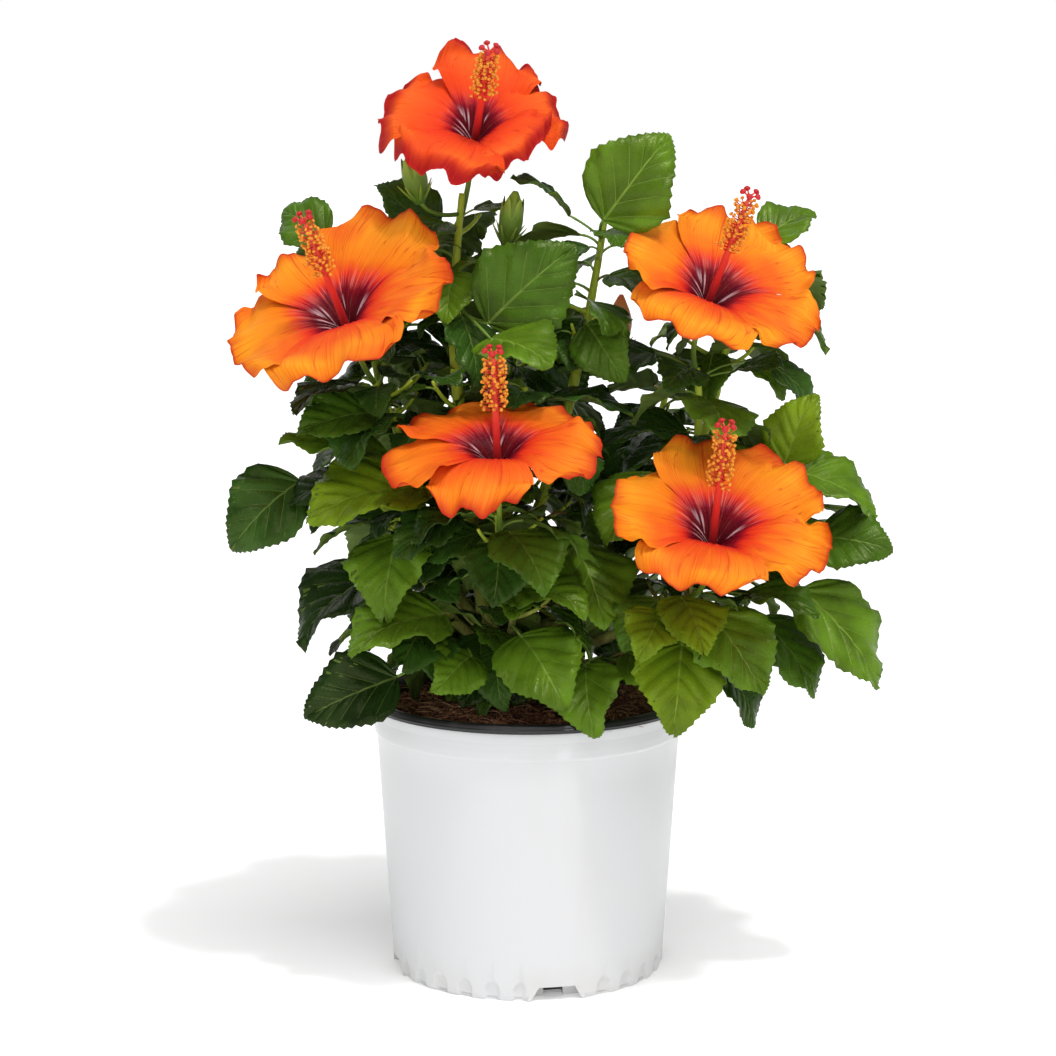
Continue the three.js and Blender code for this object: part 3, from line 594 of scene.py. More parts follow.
def set_leaves(mass, leaves):
    """The leaves that the model set: those with a point of its mesh at their tip."""
    points = node_points(mass["name"])
    return [leaf for leaf in leaves if np.min(np.linalg.norm(points - leaf_tip(leaf), axis=1)) < 0.5]


# ---- Materials ----
class Look:
    """A procedural material: a principled shader and the few nodes that feed it."""

    def __init__(self, name, colour, roughness, **sockets):
        self.material = bpy.data.materials.new(name)
        self.material.use_nodes = True
        self.tree = self.material.node_tree
        self.shader = self.tree.nodes["Principled BSDF"]
        self.set(self.shader, {"Base Color": (*colour, 1), "Roughness": roughness})
        self.set(self.shader, {key.replace("_", " "): value for key, value in sockets.items()})
        self.place = self.tree.nodes.new("ShaderNodeTexCoord").outputs["Object"]

    def set(self, node, inputs):
        for key, value in inputs.items():
            if isinstance(value, bpy.types.NodeSocket):
                self.tree.links.new(value, node.inputs[key])
            else:
                node.inputs[key].default_value = value

    def add(self, kind, inputs, **settings):
        node = self.tree.nodes.new("ShaderNode" + kind)
        for key, value in settings.items():
            setattr(node, key, value)
        self.set(node, inputs)
        return node

    def on_map(self):
        """Places from the piece's own map: across and along a petal or bud."""
        return self.add("UVMap", {}, uv_map="place").outputs["UV"]

    def stretched(self, place, scale):
        return self.add("Mapping", {"Vector": place, "Scale": scale}).outputs["Vector"]

    def noise(self, scale, detail=3.0, place=None, distortion=0.0):
        inputs = {"Vector": place or self.place, "Scale": scale, "Detail": detail, "Distortion": distortion}
        return self.add("TexNoise", inputs).outputs["Fac"]

    def cells(self, scale, feature="DISTANCE_TO_EDGE"):
        inputs = {"Vector": self.place, "Scale": scale}
        return self.add("TexVoronoi", inputs, feature=feature).outputs["Distance"]

    def spread(self, value, low, high, to_low=0.0, to_high=1.0):
        inputs = {"Value": value, "From Min": low, "From Max": high, "To Min": to_low, "To Max": to_high}
        return self.add("MapRange", inputs, interpolation_type="SMOOTHSTEP").outputs["Result"]

    def sum(self, a, b, operation="ADD"):
        return self.add("Math", {0: a, 1: b}, operation=operation).outputs[0]

    def times(self, a, b):
        return self.sum(a, b, "MULTIPLY")

    def ramp(self, value, stops):
        node = self.add("ValToRGB", {"Fac": value})
        stop_list = node.color_ramp.elements
        while len(stop_list) < len(stops):
            stop_list.new(1.0)
        for element, (position, colour) in zip(stop_list, stops):
            element.position = position
            element.color = (*colour, 1)
        return node.outputs["Color"]

    def mix(self, share, first, second, blend="MIX"):
        node = self.add("Mix", {0: share}, data_type="RGBA", blend_type=blend)
        for key, colour in ((6, first), (7, second)):
            self.set(node, {key: colour if isinstance(colour, bpy.types.NodeSocket) else (*colour, 1)})
        return node.outputs[2]

    def split(self, vector):
        return self.add("SeparateXYZ", {"Vector": vector}).outputs

    def finish(self, colour=None, roughness=None, height=None, strength=0.3, depth=0.0005):
        if colour is not None:
            self.set(self.shader, {"Base Color": colour})
        if roughness is not None:
            self.set(self.shader, {"Roughness": roughness})
        if height is not None:
            bump = self.add("Bump", {"Height": height, "Strength": strength, "Distance": depth})
            self.set(self.shader, {"Normal": bump.outputs["Normal"]})
        return self.material


def shade(colour, factor):
    return tuple(min(1.0, c * factor) for c in colour)


LEAF_SHINE = dict(Specular_IOR_Level=0.24, Specular_Tint=(0.95, 1.0, 0.5, 1))


def leaf_look(name, colour, gloss):
    look = Look(name, colour, gloss, **LEAF_SHINE)
    patches = look.noise(38, 2)
    tint = look.mix(look.spread(patches, 0.3, 0.7), shade(colour, 0.7), shade(colour, 1.3))
    mesh_of_veins = look.spread(look.cells(420), 0.0, 0.35)
    worn = look.spread(look.noise(160, 3), 0.3, 0.75, gloss - 0.06, gloss + 0.14)
    height = look.sum(mesh_of_veins, look.noise(900, 2))
    return look.finish(tint, worn, height, 0.4, 0.0002)


def underside_look():
    look = Look("leaf_underside", (0.1, 0.16, 0.025), 0.62, Specular_IOR_Level=0.2)
    tint = look.mix(look.noise(60, 2), (0.075, 0.13, 0.016), (0.13, 0.19, 0.03))
    return look.finish(tint, None, look.cells(380), 0.5, 0.0003)


def vein_look(name, leaf):
    """Veins somewhat paler than their leaf."""
    colour = tuple(lerp(part, pale, 0.22) for part, pale in zip(shade(leaf, 1.25), (0.4, 0.52, 0.12)))
    look = Look(name, colour, 0.42, **LEAF_SHINE)
    tint = look.mix(look.noise(120, 1), shade(colour, 0.75), shade(colour, 1.25))
    return look.finish(tint, None, look.noise(700, 2), 0.2, 0.0001)


def stalk_look():
    look = Look("leaf_stalk", (0.2, 0.32, 0.05), 0.45, Specular_IOR_Level=0.24)
    tint = look.mix(look.spread(look.noise(28, 2), 0.5, 0.75), (0.17, 0.3, 0.04), (0.3, 0.16, 0.06))
    fine = look.noise(500, 3, look.stretched(look.place, (1, 1, 0.25)))
    return look.finish(tint, None, fine, 0.3, 0.0002)


def bark_look():
    """Brown and wrinkled at the foot, green and smoother towards the tips."""
    look = Look("bark", (0.2, 0.17, 0.08), 0.72, Specular_IOR_Level=0.25)
    height = look.split(look.place)["Z"]
    wander = look.sum(height, look.times(look.noise(14, 2), 0.22))
    age = look.spread(wander, 0.31, 0.45)
    grain = look.noise(240, 5, look.stretched(look.place, (1, 1, 0.16)))
    browns = [(0.3, (0.1, 0.07, 0.028)), (0.5, (0.2, 0.16, 0.06)), (0.72, (0.32, 0.27, 0.12))]
    greens = [(0.25, (0.3, 0.42, 0.02)), (0.6, (0.45, 0.58, 0.045)), (0.9, (0.56, 0.66, 0.1))]
    woody, green = look.ramp(grain, browns), look.ramp(grain, greens)
    spots = look.spread(look.cells(330, "F1"), 0.0, 0.22, 1.0, 0.0)
    tint = look.mix(look.times(spots, 0.35), look.mix(age, woody, green), (0.42, 0.36, 0.24))
    relief = look.sum(grain, look.times(spots, 0.4))
    return look.finish(tint, look.spread(age, 0, 1, 0.85, 0.5), relief, 0.7, 0.0007)


def petal_look(name, warm):
    """Dark eye that bleeds outwards, then a veined orange blade. warm: from 0, orange, to 1, red."""
    look = Look(name, (0.9, 0.2, 0.02), 0.5, Specular_IOR_Level=0.08)
    place = look.on_map()
    across, out, _ = look.split(place)
    down = look.spread(across, 4.05, 4.2)  # 1 on the two lower petals, 0 on the others
    up = look.spread(down, 0, 1, 1, 0)
    rays = look.noise(1, 3, look.stretched(place, (7, 0.9, 1)))
    fine_rays = look.noise(1, 2, look.stretched(place, (64, 1.5, 1)))
    bleed = look.spread(rays, 0.3, 0.7, -0.035, 0.03)
    bleed = look.sum(bleed, look.spread(fine_rays, 0.3, 0.7, -0.007, 0.007))
    bled = look.sum(out, bleed)
    reach = look.sum(bled, look.times(down, 0.05))
    orange = (0.8, 0.19 - 0.11 * warm, 0.008)
    glow = (0.85, 0.305 - 0.16 * warm, 0.014)
    stops = [
        (0.0, (0.05, 0.001, 0.006)), (0.2, (0.085, 0.001, 0.009)), (0.255, (0.17, 0.0015, 0.014)),
        (0.31, (0.4, 0.004, 0.013)), (0.37, (0.7, 0.04, 0.01)), (0.5, orange), (0.84, glow), (1.0, orange),
    ]
    blade = look.ramp(reach, stops)

    # White glints on the upper petals' eye, painted highlights, and pale rays
    painted_glints = look.times(look.spread(fine_rays, 0.34, 0.5, 0.3, 1.0), look.spread(rays, 0.54, 0.6))
    painted_glints = look.times(look.times(painted_glints, up), look.spread(out, 0.15, 0.26, 0.75, 0.0))
    blade = look.mix(painted_glints, blade, (0.88, 0.62, 0.66))
    halo = look.times(look.spread(reach, 0.24, 0.31), look.spread(reach, 0.33, 0.46, 1, 0))
    pale = look.times(look.spread(fine_rays, 0.48, 0.6, 0.0, 0.28 - 0.15 * warm), up)
    blade = look.mix(look.times(halo, pale), blade, (0.88, 0.4, 0.3))

    # Red flushes over the blade, below the eye and at the rim
    flush = look.spread(look.noise(22, 2), 0.46, 0.72, 0.0, 0.6 + 0.3 * warm)
    flush = look.times(flush, look.spread(out, 0.25, 0.6))
    blade = look.mix(flush, blade, (0.7, 0.05, 0.01))
    blush = look.times(look.spread(out, 0.2, 0.32), look.spread(bled, 0.4, 0.85, 1, 0))
    blush = look.times(blush, look.spread(rays, 0.35, 0.6, 0.25, 1.0))
    blade = look.mix(look.times(look.times(blush, down), 0.8), blade, (0.72, 0.035, 0.012))
    rim = look.sum(out, look.spread(rays, 0.3, 0.7, -0.03, 0.03))
    rim = look.spread(rim, 0.9 - 0.1 * warm, 1.0, 0.0, 0.3 + 0.7 * warm)
    blade = look.mix(rim, blade, (0.36, 0.008, 0.01))

    # Fine veins, a few drawn ones, and the thin red edge
    veins = look.noise(1, 2, look.stretched(place, (105, 1.7, 1)))
    blade = look.mix(look.spread(veins, 0.37, 0.49, 0.3, 0.0), blade, (0.6, 0.045, 0.006))
    lines = look.sum(look.noise(1, 1, look.stretched(place, (15, 0.8, 1))), 0.5, "SUBTRACT")
    lines = look.spread(look.sum(lines, 0, "ABSOLUTE"), 0.003, 0.016, 0.5, 0.0)
    blade = look.mix(look.times(lines, look.spread(out, 0.25, 0.4)), blade, (0.5, 0.02, 0.006))
    blade = look.mix(look.spread(out, 0.965, 0.995, 0.0, 0.7), blade, (0.42, 0.014, 0.008))
    height = look.sum(look.times(veins, 0.8), look.noise(420, 3))
    gloss = look.spread(out, 0.2, 0.4, 0.26, 0.6)
    return look.finish(blade, gloss, height, 0.7, 0.0005)


def column_look():
    look = Look("bloom_column", (0.62, 0.03, 0.02), 0.4, Specular_IOR_Level=0.5)
    out = look.split(look.on_map())["Y"]
    tint = look.ramp(out, [(0.0, (0.42, 0.01, 0.02)), (0.4, (0.72, 0.03, 0.02)), (1.0, (0.86, 0.09, 0.03))])
    return look.finish(tint, None, look.noise(600, 3), 0.3, 0.0002)


def grainy_look(name, colour, roughness, size=900, depth=0.0002, contrast=0.3, **sockets):
    """A plain colour broken up by fine grain."""
    look = Look(name, colour, roughness, **sockets)
    grain = look.noise(size, 3)
    tint = look.mix(look.spread(grain, 0.3, 0.7), shade(colour, 1 - contrast), shade(colour, 1 + contrast))
    return look.finish(tint, None, grain, 0.5, depth)


def calyx_look():
    look = Look("calyx", (0.16, 0.26, 0.05), 0.5, Specular_IOR_Level=0.3)
    out = look.split(look.on_map())["Y"]
    tint = look.ramp(out, [(0.0, (0.06, 0.13, 0.008)), (0.6, (0.14, 0.24, 0.014)), (1.0, (0.3, 0.38, 0.04))])
    ribs = look.noise(300, 3, look.stretched(look.place, (1, 1, 0.2)))
    tint = look.mix(look.spread(ribs, 0.4, 0.7, 0, 0.3), tint, (0.1, 0.17, 0.035))
    return look.finish(tint, None, ribs, 0.4, 0.0003)


def bud_look():
    look = Look("bud_petals", (0.85, 0.3, 0.08), 0.45, Sheen_Weight=0.2)
    place = look.on_map()
    out = look.split(place)["Y"]
    stops = [
        (0.0, (0.8, 0.55, 0.2)), (0.5, (0.9, 0.5, 0.22)), (0.85, (0.9, 0.3, 0.09)), (1.0, (0.8, 0.14, 0.04)),
    ]
    veins = look.noise(1, 2, look.stretched(place, (40, 2, 1)))
    tint = look.mix(look.spread(veins, 0.4, 0.65, 0.3, 0), look.ramp(out, stops), (0.7, 0.12, 0.04))
    return look.finish(tint, None, veins, 0.4, 0.0003)


def pot_look():
    """White moulded plastic, with dust that thickens towards the ground."""
    white = (0.66, 0.665, 0.675)
    look = Look("pot_white", white, 0.34, Specular_IOR_Level=0.5)
    height = look.split(look.place)["Z"]
    cloud = look.noise(26, 4)
    low = look.times(look.spread(height, 0.0, 0.03, 1.0, 0.0), look.spread(cloud, 0.35, 0.75, 0.02, 0.4))
    smears = look.noise(30, 4, look.stretched(look.place, (1, 1, 0.12)))
    dust = look.sum(low, look.spread(smears, 0.55, 0.85, 0.0, 0.1))
    tint = look.mix(dust, white, (0.5, 0.46, 0.40))
    skin = look.sum(look.noise(520, 2), look.times(look.noise(90, 2), 0.6))
    return look.finish(tint, look.spread(cloud, 0.3, 0.8, 0.3, 0.46), skin, 0.12, 0.0003)


def liner_look():
    look = Look("pot_black", (0.012, 0.012, 0.013), 0.4, Specular_IOR_Level=0.5)
    cloud = look.noise(60, 4)
    tint = look.mix(look.spread(cloud, 0.5, 0.85, 0.0, 0.35), (0.010, 0.010, 0.011), (0.07, 0.06, 0.05))
    return look.finish(tint, look.spread(cloud, 0.3, 0.8, 0.3, 0.55), look.noise(480, 3), 0.2, 0.0003)


def soil_look():
    look = Look("potting_mix", (0.12, 0.055, 0.03), 0.95)
    lumps = look.noise(170, 6, None, 0.4)
    browns = [(0.3, (0.07, 0.028, 0.015)), (0.5, (0.24, 0.1, 0.05)), (0.75, (0.45, 0.21, 0.11))]
    tint = look.ramp(lumps, browns)
    return look.finish(tint, None, look.sum(lumps, look.noise(700, 3)), 1.0, 0.003)


def floor_look():
    look = Look("studio_floor", (0.94, 0.94, 0.94), 0.8, Specular_IOR_Level=0.1, Emission_Strength=0.2)
    look.set(look.shader, {"Emission Color": (1, 1, 1, 1)})
    gloss = look.spread(look.noise(3, 3), 0.3, 0.7, 0.7, 0.9)
    return look.finish(None, gloss, look.noise(250, 2), 0.05, 0.0005)


# ---- Pot ----
def lathe(profile, sides, ripple=None):
    """A profile of radius and height turned round the pot's axis; it starts and ends on that axis."""
    profile = np.array(profile, float)
    angles = np.linspace(0, 2 * np.pi, sides, endpoint=False)
    rings = profile[1:-1]
    radius = np.broadcast_to(rings[:, :1], (len(rings), sides)).copy()
    height = np.broadcast_to(rings[:, 1:], (len(rings), sides)).copy()
    if ripple:
        radius, height = ripple(angles[None, :], radius, height)
    points = np.stack([radius * np.cos(angles), radius * np.sin(angles), height], -1).reshape(-1, 3)
    poles = [[0, 0, profile[0, 1]], [0, 0, profile[-1, 1]]]
    ring, count = np.arange(sides), len(points)
    after = (ring + 1) % sides
    last = count - sides
    foot = np.stack([np.full(sides, count), after, ring], -1)
    top = np.stack([np.full(sides, count + 1), last + ring, last + after], -1)
    return np.concatenate([points, poles]), [grid(len(rings), sides, wrap=True), foot, top]


def rounded(corners, bend, steps=4):
    """A profile's line with each inner corner turned into an arc of a few points."""
    line = [np.array(corners[0], float)]
    for before, corner, after in zip(corners, corners[1:], corners[2:]):
        before, corner, after = (np.array(p, float) for p in (before, corner, after))
        start = corner + (before - corner) * min(0.5, bend / max(1e-6, np.linalg.norm(before - corner)))
        end = corner + (after - corner) * min(0.5, bend / max(1e-6, np.linalg.norm(after - corner)))
        line += list(arc_points(start, corner, end, steps))
    return line + [np.array(corners[-1], float)]


def wedge(azimuth, wide, narrow, low, high, inner, outer):
    """A block that runs outwards along the pot's floor, narrower at its top."""
    out, across = heading(azimuth, 0), heading(azimuth + 90, 0)
    ends = []
    for reach in (inner, outer):
        for x, z in ((-wide / 2, low), (wide / 2, low), (narrow / 2, high), (-narrow / 2, high)):
            ends.append(out * reach + across * x + UP * z)
    sides = [[3, 2, 1, 0], [4, 5, 6, 7], [1, 5, 4, 0], [2, 6, 5, 1], [3, 7, 6, 2], [0, 4, 7, 3]]
    return ends, [sides]


def cut(piece, blocks, operation):
    """Adds blocks to a piece, or takes them from it."""
    joined = Joined()
    for block in blocks:
        joined.add(*block)
    mesh = bpy.data.meshes.new("cutter")
    mesh.from_pydata((np.concatenate(joined.points) * MM).tolist(), [], joined.faces)
    tool = bpy.data.objects.new("cutter", mesh)
    bpy.context.scene.collection.objects.link(tool)
    change = piece.modifiers.new("cut", "BOOLEAN")
    change.operation, change.solver, change.object = operation, "EXACT", tool
    bpy.context.view_layer.update()
    result = bpy.data.meshes.new_from_object(piece.evaluated_get(bpy.context.evaluated_depsgraph_get()))
    piece.modifiers.clear()
    piece.data = result
    bpy.data.objects.remove(tool)


def build_pot(settings):
    top, _, neck = np.array(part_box("pot_shell")[1]) / MM
    foot, band = top - 13.7, neck - 18.2  # radius of the wall at the floor, and where the upper band starts
    wall = settings.wall / MM
    pitch = 2 * np.pi / DRAIN["count"]

    def ripple(angles, radius, height):
        """Flutes pressed into the foot of the outer wall, clear of the drain notches."""
        outside = radius > foot - 1.5
        aside = np.abs((settings.flutes * angles / (2 * np.pi) + 0.25) % 1 - 0.5) / 0.24
        dent = smooth(1.25, 0.7, aside)
        share = smooth(1.3, -1.3, height - 12.3 + 4.5 * np.minimum(aside, 1.3) ** 2) * outside
        from_drain = np.abs((angles - math.radians(DRAIN["first"]) + pitch / 2) % pitch - pitch / 2) * foot
        share = share * smooth(DRAIN["wide"] / 2 + 1, DRAIN["wide"] / 2 + 5, from_drain)
        lift = 1.6 * dent * share * smooth(3.0, 0.0, height)
        return radius - settings.flute_depth / MM * share * dent, height + lift * (height < 3)

    groove = [(0.0, 0.0), (0.5, -0.7), (0.9, -1.0), (0.5, -1.4), (0.0, -2.0)]
    outer = [(0, 0), (foot - 1.6, 0), (foot - 0.4, 0.4), (foot, 1.6)]
    outer += [(foot + 0.6 + k * 0.08, 1.6 + 1.2 * k) for k in range(1, 11)]
    outer += [(lerp(foot + 1.4, top - 2.7, k / 8), lerp(13.6, band - 1.2, k / 8)) for k in range(1, 9)]
    outer += [(top - 2.4, band - 0.7), (top - 1.5, band + 0.1)]
    outer += [(top - 1.15, band + 0.9), (top - 1.1, band + 2)]
    for middle in (band + 6.5, neck - 6.0):
        outer += [(top - 0.8 - deep, middle - 1.0 - rise) for deep, rise in groove[::-1]]
    outer += [(top - 0.3, neck - 2.5), (top, neck - 0.9), (top - 0.3, neck - 0.1), (top - 1.0, neck)]
    inner = [(top - 2.2, neck), (top - 2.7, band + 1.5), (foot - wall + 9.6, 150), (foot - wall + 0.4, 17)]
    inner += [(foot - wall - 3.2, 13.5), (foot - wall - 3.2, wall), (0, wall)]
    joined = Joined()
    joined.add(*lathe(outer + inner, settings.sides, ripple))
    piece = joined.make("pot_wall", [pot_look()], "pot", ["pot_shell"])
    wide, narrow, high, hole = (DRAIN[key] for key in ("wide", "narrow", "high", "hole"))
    reach = foot - DRAIN["depth"]
    turns = [DRAIN["first"] + 360 / DRAIN["count"] * k for k in range(DRAIN["count"])]
    more = 2 * wall
    housings = [
        wedge(turn, wide + more, narrow + more, 0.5, high + wall, reach - wall, foot - 0.9) for turn in turns
    ]
    notches = [wedge(turn, wide, narrow, -2, high, reach, reach + 30) for turn in turns]
    holes = [wedge(turn, hole, hole, -3, high - 2.5, reach - 3 * wall, reach + 1) for turn in turns]
    for blocks, operation in ((housings, "UNION"), (notches, "DIFFERENCE"), (holes, "DIFFERENCE")):
        cut(piece, blocks, operation)
    piece.data.polygons.foreach_set("use_smooth", np.full(len(piece.data.polygons), True))
    piece.data.set_sharp_from_angle(angle=math.radians(38))


def build_liner(settings):
    low, high = (np.array(corner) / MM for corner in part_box("pot_liner"))
    lip, top, floor = high[0], high[2], low[2]
    neck = top - 6
    mouth = lip - 7.2
    corners = [
        (0, floor), (mouth - 14.0, floor), (mouth - 5.2, 158.2), (mouth + 1.3, neck - 12),
        (mouth + 1.8, neck), (lip - 1.0, neck - 0.2), (lip, neck + 1.4), (lip, top - 2.0), (lip - 2.2, top),
        (mouth + 2.2, top), (mouth + 0.4, top - 1.8), (mouth - 0.2, neck - 12), (mouth - 6.7, 158.7),
        (mouth - 15.5, floor + 1.5), (0, floor + 1.5),
    ]

    def ripple(angles, radius, height):
        """A slight sway of the lip, as soft plastic has."""
        sway = 0.25 * np.sin(3 * angles + 0.6) + 0.15 * np.sin(7 * angles)
        return radius, height + sway * smooth(neck, top, height) - 0.25 * (height > top - 0.6)

    joined = Joined()
    joined.add(*lathe(rounded(corners, 1.3), settings.sides, ripple))
    joined.make("pot_lip", [liner_look()], "liner", ["pot_liner"])


# ---- Potting mix ----
CRUMB_GAP, FIBRE_GAP = 17, 15  # least distances from the trunk's axis
LUMP = np.array([[1, 0, 0], [-1, 0, 0], [0, 1, 0], [0, -1, 0], [0, 0, 1], [0, 0, -1]], float)
LUMP_FACES = [[0, 2, 4], [2, 1, 4], [1, 3, 4], [3, 0, 4], [2, 0, 5], [1, 2, 5], [3, 1, 5], [0, 3, 5]]
FIBRE_RADII = np.array([0.22, 0.32, 0.32, 0.28, 0.12])


def ground(x, y):
    """Height of the potting mix: level round the trunk, lower and rougher at the wall."""
    radius = np.hypot(x, y)
    level = SOIL_TOP - 0.3 - 6.0 * smooth(60, 97, radius)
    clods = np.sin(x * 0.11 + 1) * np.cos(y * 0.13) + 0.6 * np.sin(x * 0.31 - y * 0.27)
    return level + 1.2 * clods * smooth(14, 50, radius)


def build_soil(settings):
    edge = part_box("soil")[1][0] / MM - 0.1
    rings, sides = 70, 200
    radius = edge * np.linspace(0.004, 1, rings)[:, None]
    angles = np.linspace(0, 2 * np.pi, sides, endpoint=False)[None, :]
    x, y = radius * np.cos(angles), radius * np.sin(angles)
    spots = [Vector((a * 0.16, b * 0.16, 3.0)) for a, b in zip(x.ravel(), y.ravel())]
    rough = np.array([noise.fractal(spot, 0.8, 2.0, 5) for spot in spots]).reshape(x.shape)
    z = ground(x, y) + 1.7 * rough * smooth(12, 20, from_trunk(x, y))
    skirt = np.stack([x[-1], y[-1], z[-1] - 14], -1)
    top = np.stack([x, y, z], -1).reshape(-1, 3)
    joined = Joined()
    joined.add(np.concatenate([top, skirt]), [grid(rings + 1, sides, wrap=True)])
    joined.make("potting_mix_bed", [soil_look()], "soil", ["soil"])

    random = np.random.default_rng(settings.seed)
    crumbs = Joined()
    for k in range(settings.crumbs):
        out = (edge - 1.5) * math.sqrt(random.uniform(0.0, 1.0))
        turn = random.uniform(0, 2 * math.pi)
        spot = np.array([out * math.cos(turn), out * math.sin(turn), 0.0])
        size = random.uniform(0.6, 2.3) * (1.5 if k % 9 == 0 else 1.0)
        if from_trunk(spot[0], spot[1]) < CRUMB_GAP:
            continue
        spot[2] = ground(spot[0], spot[1]) + random.uniform(-0.4, 1.4)
        lump = LUMP * size * random.uniform(0.45, 1.0, (6, 1)) * random.uniform(0.5, 1.3, 3)
        spin = unit(random.normal(size=(3, 3)))
        crumbs.add(lump @ spin + spot, [LUMP_FACES], int(random.choice(3, p=(0.45, 0.4, 0.15))))
    for _ in range(settings.fibres):
        out = (edge - 8) * math.sqrt(random.uniform(0.0, 1.0))
        turn, facing = random.uniform(0, 2 * math.pi, 2)
        spot = np.array([out * math.cos(turn), out * math.sin(turn), 0.0])
        spot[2] = ground(spot[0], spot[1]) + 0.6
        if from_trunk(spot[0], spot[1]) < FIBRE_GAP:
            continue
        length = random.uniform(5, 17)
        way = np.array([math.cos(facing), math.sin(facing), random.uniform(-0.05, 0.25)])
        side = np.array([-way[1], way[0], 0]) * random.uniform(-0.4, 0.4) + UP * random.uniform(0.0, 0.35)
        line = arc_points(spot, spot + way * length / 2 + side * length, spot + way * length, 5)
        points, faces = tube(line, FIBRE_RADII * random.uniform(0.7, 1.4), 3)
        crumbs.add(points, faces, int(random.choice(3, p=(0.2, 0.45, 0.35))))
    crumb_looks = [
        grainy_look("peat_dark", (0.13, 0.05, 0.026), 0.95),
        grainy_look("peat_red", (0.36, 0.15, 0.075), 0.9),
        grainy_look("coir", (0.6, 0.34, 0.19), 0.85),
    ]
    crumbs.make("potting_mix_crumbs", crumb_looks, "soil", [], flat=True)


# ---- Trunk, boughs and stems ----
RING_GAP = 2.2  # between the rings of a limb's mesh
SCAR_GAP = 21.0  # between its leaf scars


def ring_places(curve):
    """Where a limb's rings lie along its curve, from 0 to 1."""
    return np.linspace(0, 1, max(8, int(arc_length(curve) / RING_GAP)) + 1)


def limb_radius(limb, name):
    """The limb's radius at each of its rings; the trunk flares at its foot, and a bough at its root."""
    t = ring_places(limb["curve"])
    radius = lerp(limb["root"], limb["end"], t)
    if name == "trunk":
        radius = radius * (1 + 0.75 * np.exp(-9 * t))
    elif name.startswith("bough"):
        radius = radius * (1 + 0.35 * np.exp(-22 * t))
    return radius


def barked_tube(curve, radius, sides, settings, seed, back=1.5):
    """A limb with lengthwise wrinkles and leaf scars, its root set back into what carries it."""
    length, t = arc_length(curve), ring_places(curve)
    centres = along_arc(curve, t)
    centres[0] -= back * arc_heading(curve, 0)
    angles = np.linspace(0, 2 * np.pi, sides, endpoint=False)
    ripple = np.zeros((len(t), sides))
    for i, share in enumerate(t):
        for j, angle in enumerate(angles):
            spot = Vector((math.cos(angle) * 1.6, math.sin(angle) * 1.6, share * length * 0.055 + seed * 7.3))
            fine = Vector((math.cos(angle) * 4.5, math.sin(angle) * 4.5, share * length * 0.16 + seed * 3.1))
            ripple[i, j] = 0.6 * noise.noise(spot) + 0.4 * noise.noise(fine)
    nodes = t * length / SCAR_GAP
    scars = np.exp(-((nodes % 1 - 0.5) ** 2) / 0.008)[:, None]
    scars = scars * (0.5 + 0.5 * np.cos(angles[None, :] - 2.4 * np.floor(nodes)[:, None]))
    swell = 1 + settings.relief * ripple + settings.scars * scars
    return tube(centres, radius[:, None] * swell, sides)


def build_limbs(settings):
    limbs = grow_limbs()
    wood = Joined()
    names = ["trunk"] + [bough["name"] for bough in BOUGHS]
    for seed, name in enumerate(names):
        sides, back = (40, 6.0) if name == "trunk" else (18, 1.0)
        radius = limb_radius(limbs[name], name)
        wood.add(*barked_tube(limbs[name]["curve"], radius, sides, settings, seed, back))
    wood.make("trunk_and_boughs", [bark_look()], "bark", names)


# ---- Foliage ----
# Rows of a leaf, each a place on the midrib and one on the edge, from the foot, 0, to the tip, 1.
BASAL = [(0.001, 0.03), (0.002, 0.08), (0.004, 0.14)]
VEINS = [(0.008, 0.2), (0.02, 0.44), (0.2, 0.62), (0.4, 0.76), (0.58, 0.87), (0.74, 0.945), (0.88, 0.99)]
FEW_VEINS = [(0.01, 0.22), (0.02, 0.46), (0.3, 0.7), (0.56, 0.87), (0.8, 0.98)]
STEPS = np.array([0.0, 0.05, 0.3, 0.52, 0.78])  # rows between one vein and the next
BITES = np.array([1.0, 0.9, -0.8, 0.55, -0.8])  # out at the teeth, in between them
ACROSS = np.array([-1, -0.78, -0.5, -0.22, -0.02, 0.02, 0.22, 0.5, 0.78, 1])
MIDRIB = 4  # the strip between columns 4 and 5
# Leaf colours from deep to light: the leaves' own greens with painted shade and light, deep ones for leaves
# in shade, light ones for lit leaves.
LEAF_SHADED_TINTS = [
    (0.011, 0.03, 0.005), (0.026, 0.07, 0.008), (0.05, 0.113, 0.008), (0.086, 0.17, 0.009),
    (0.14, 0.225, 0.008),
]
UNDERSIDE, VEIN = len(LEAF_SHADED_TINTS), len(LEAF_SHADED_TINTS) + 1  # material numbers; veins have one for each tint
STEM_BARK, STALK = 0, 1
FINE_STEM_LEAVES, INNER_LEAVES = 9, 4
FINE_SIZES = (0.62, 0.6, 0.68)  # shares of the mass's size: on finer twigs, on the stem, on inner twigs
SOIL_GAP = 6  # fine leaves stay this far over the potting mix


def leaf_rows(veins):
    """Rows that follow the veins out to the teeth: place on the midrib, on the edge, step and bite."""
    rows = [(middle, edge, 0.5, 0.0) for middle, edge in BASAL]
    for (m0, e0), (m1, e1) in zip(veins, veins[1:]):
        for step, bite in zip(STEPS, BITES):
            rows.append((lerp(m0, m1, step), lerp(e0, e1, step), step, bite))
    return np.array(rows + [(*veins[-1], 0.5, 0.4)])


def leaf_width(s):
    return np.sin(np.pi * np.clip(s, 0, 1) ** 0.72) ** 0.75


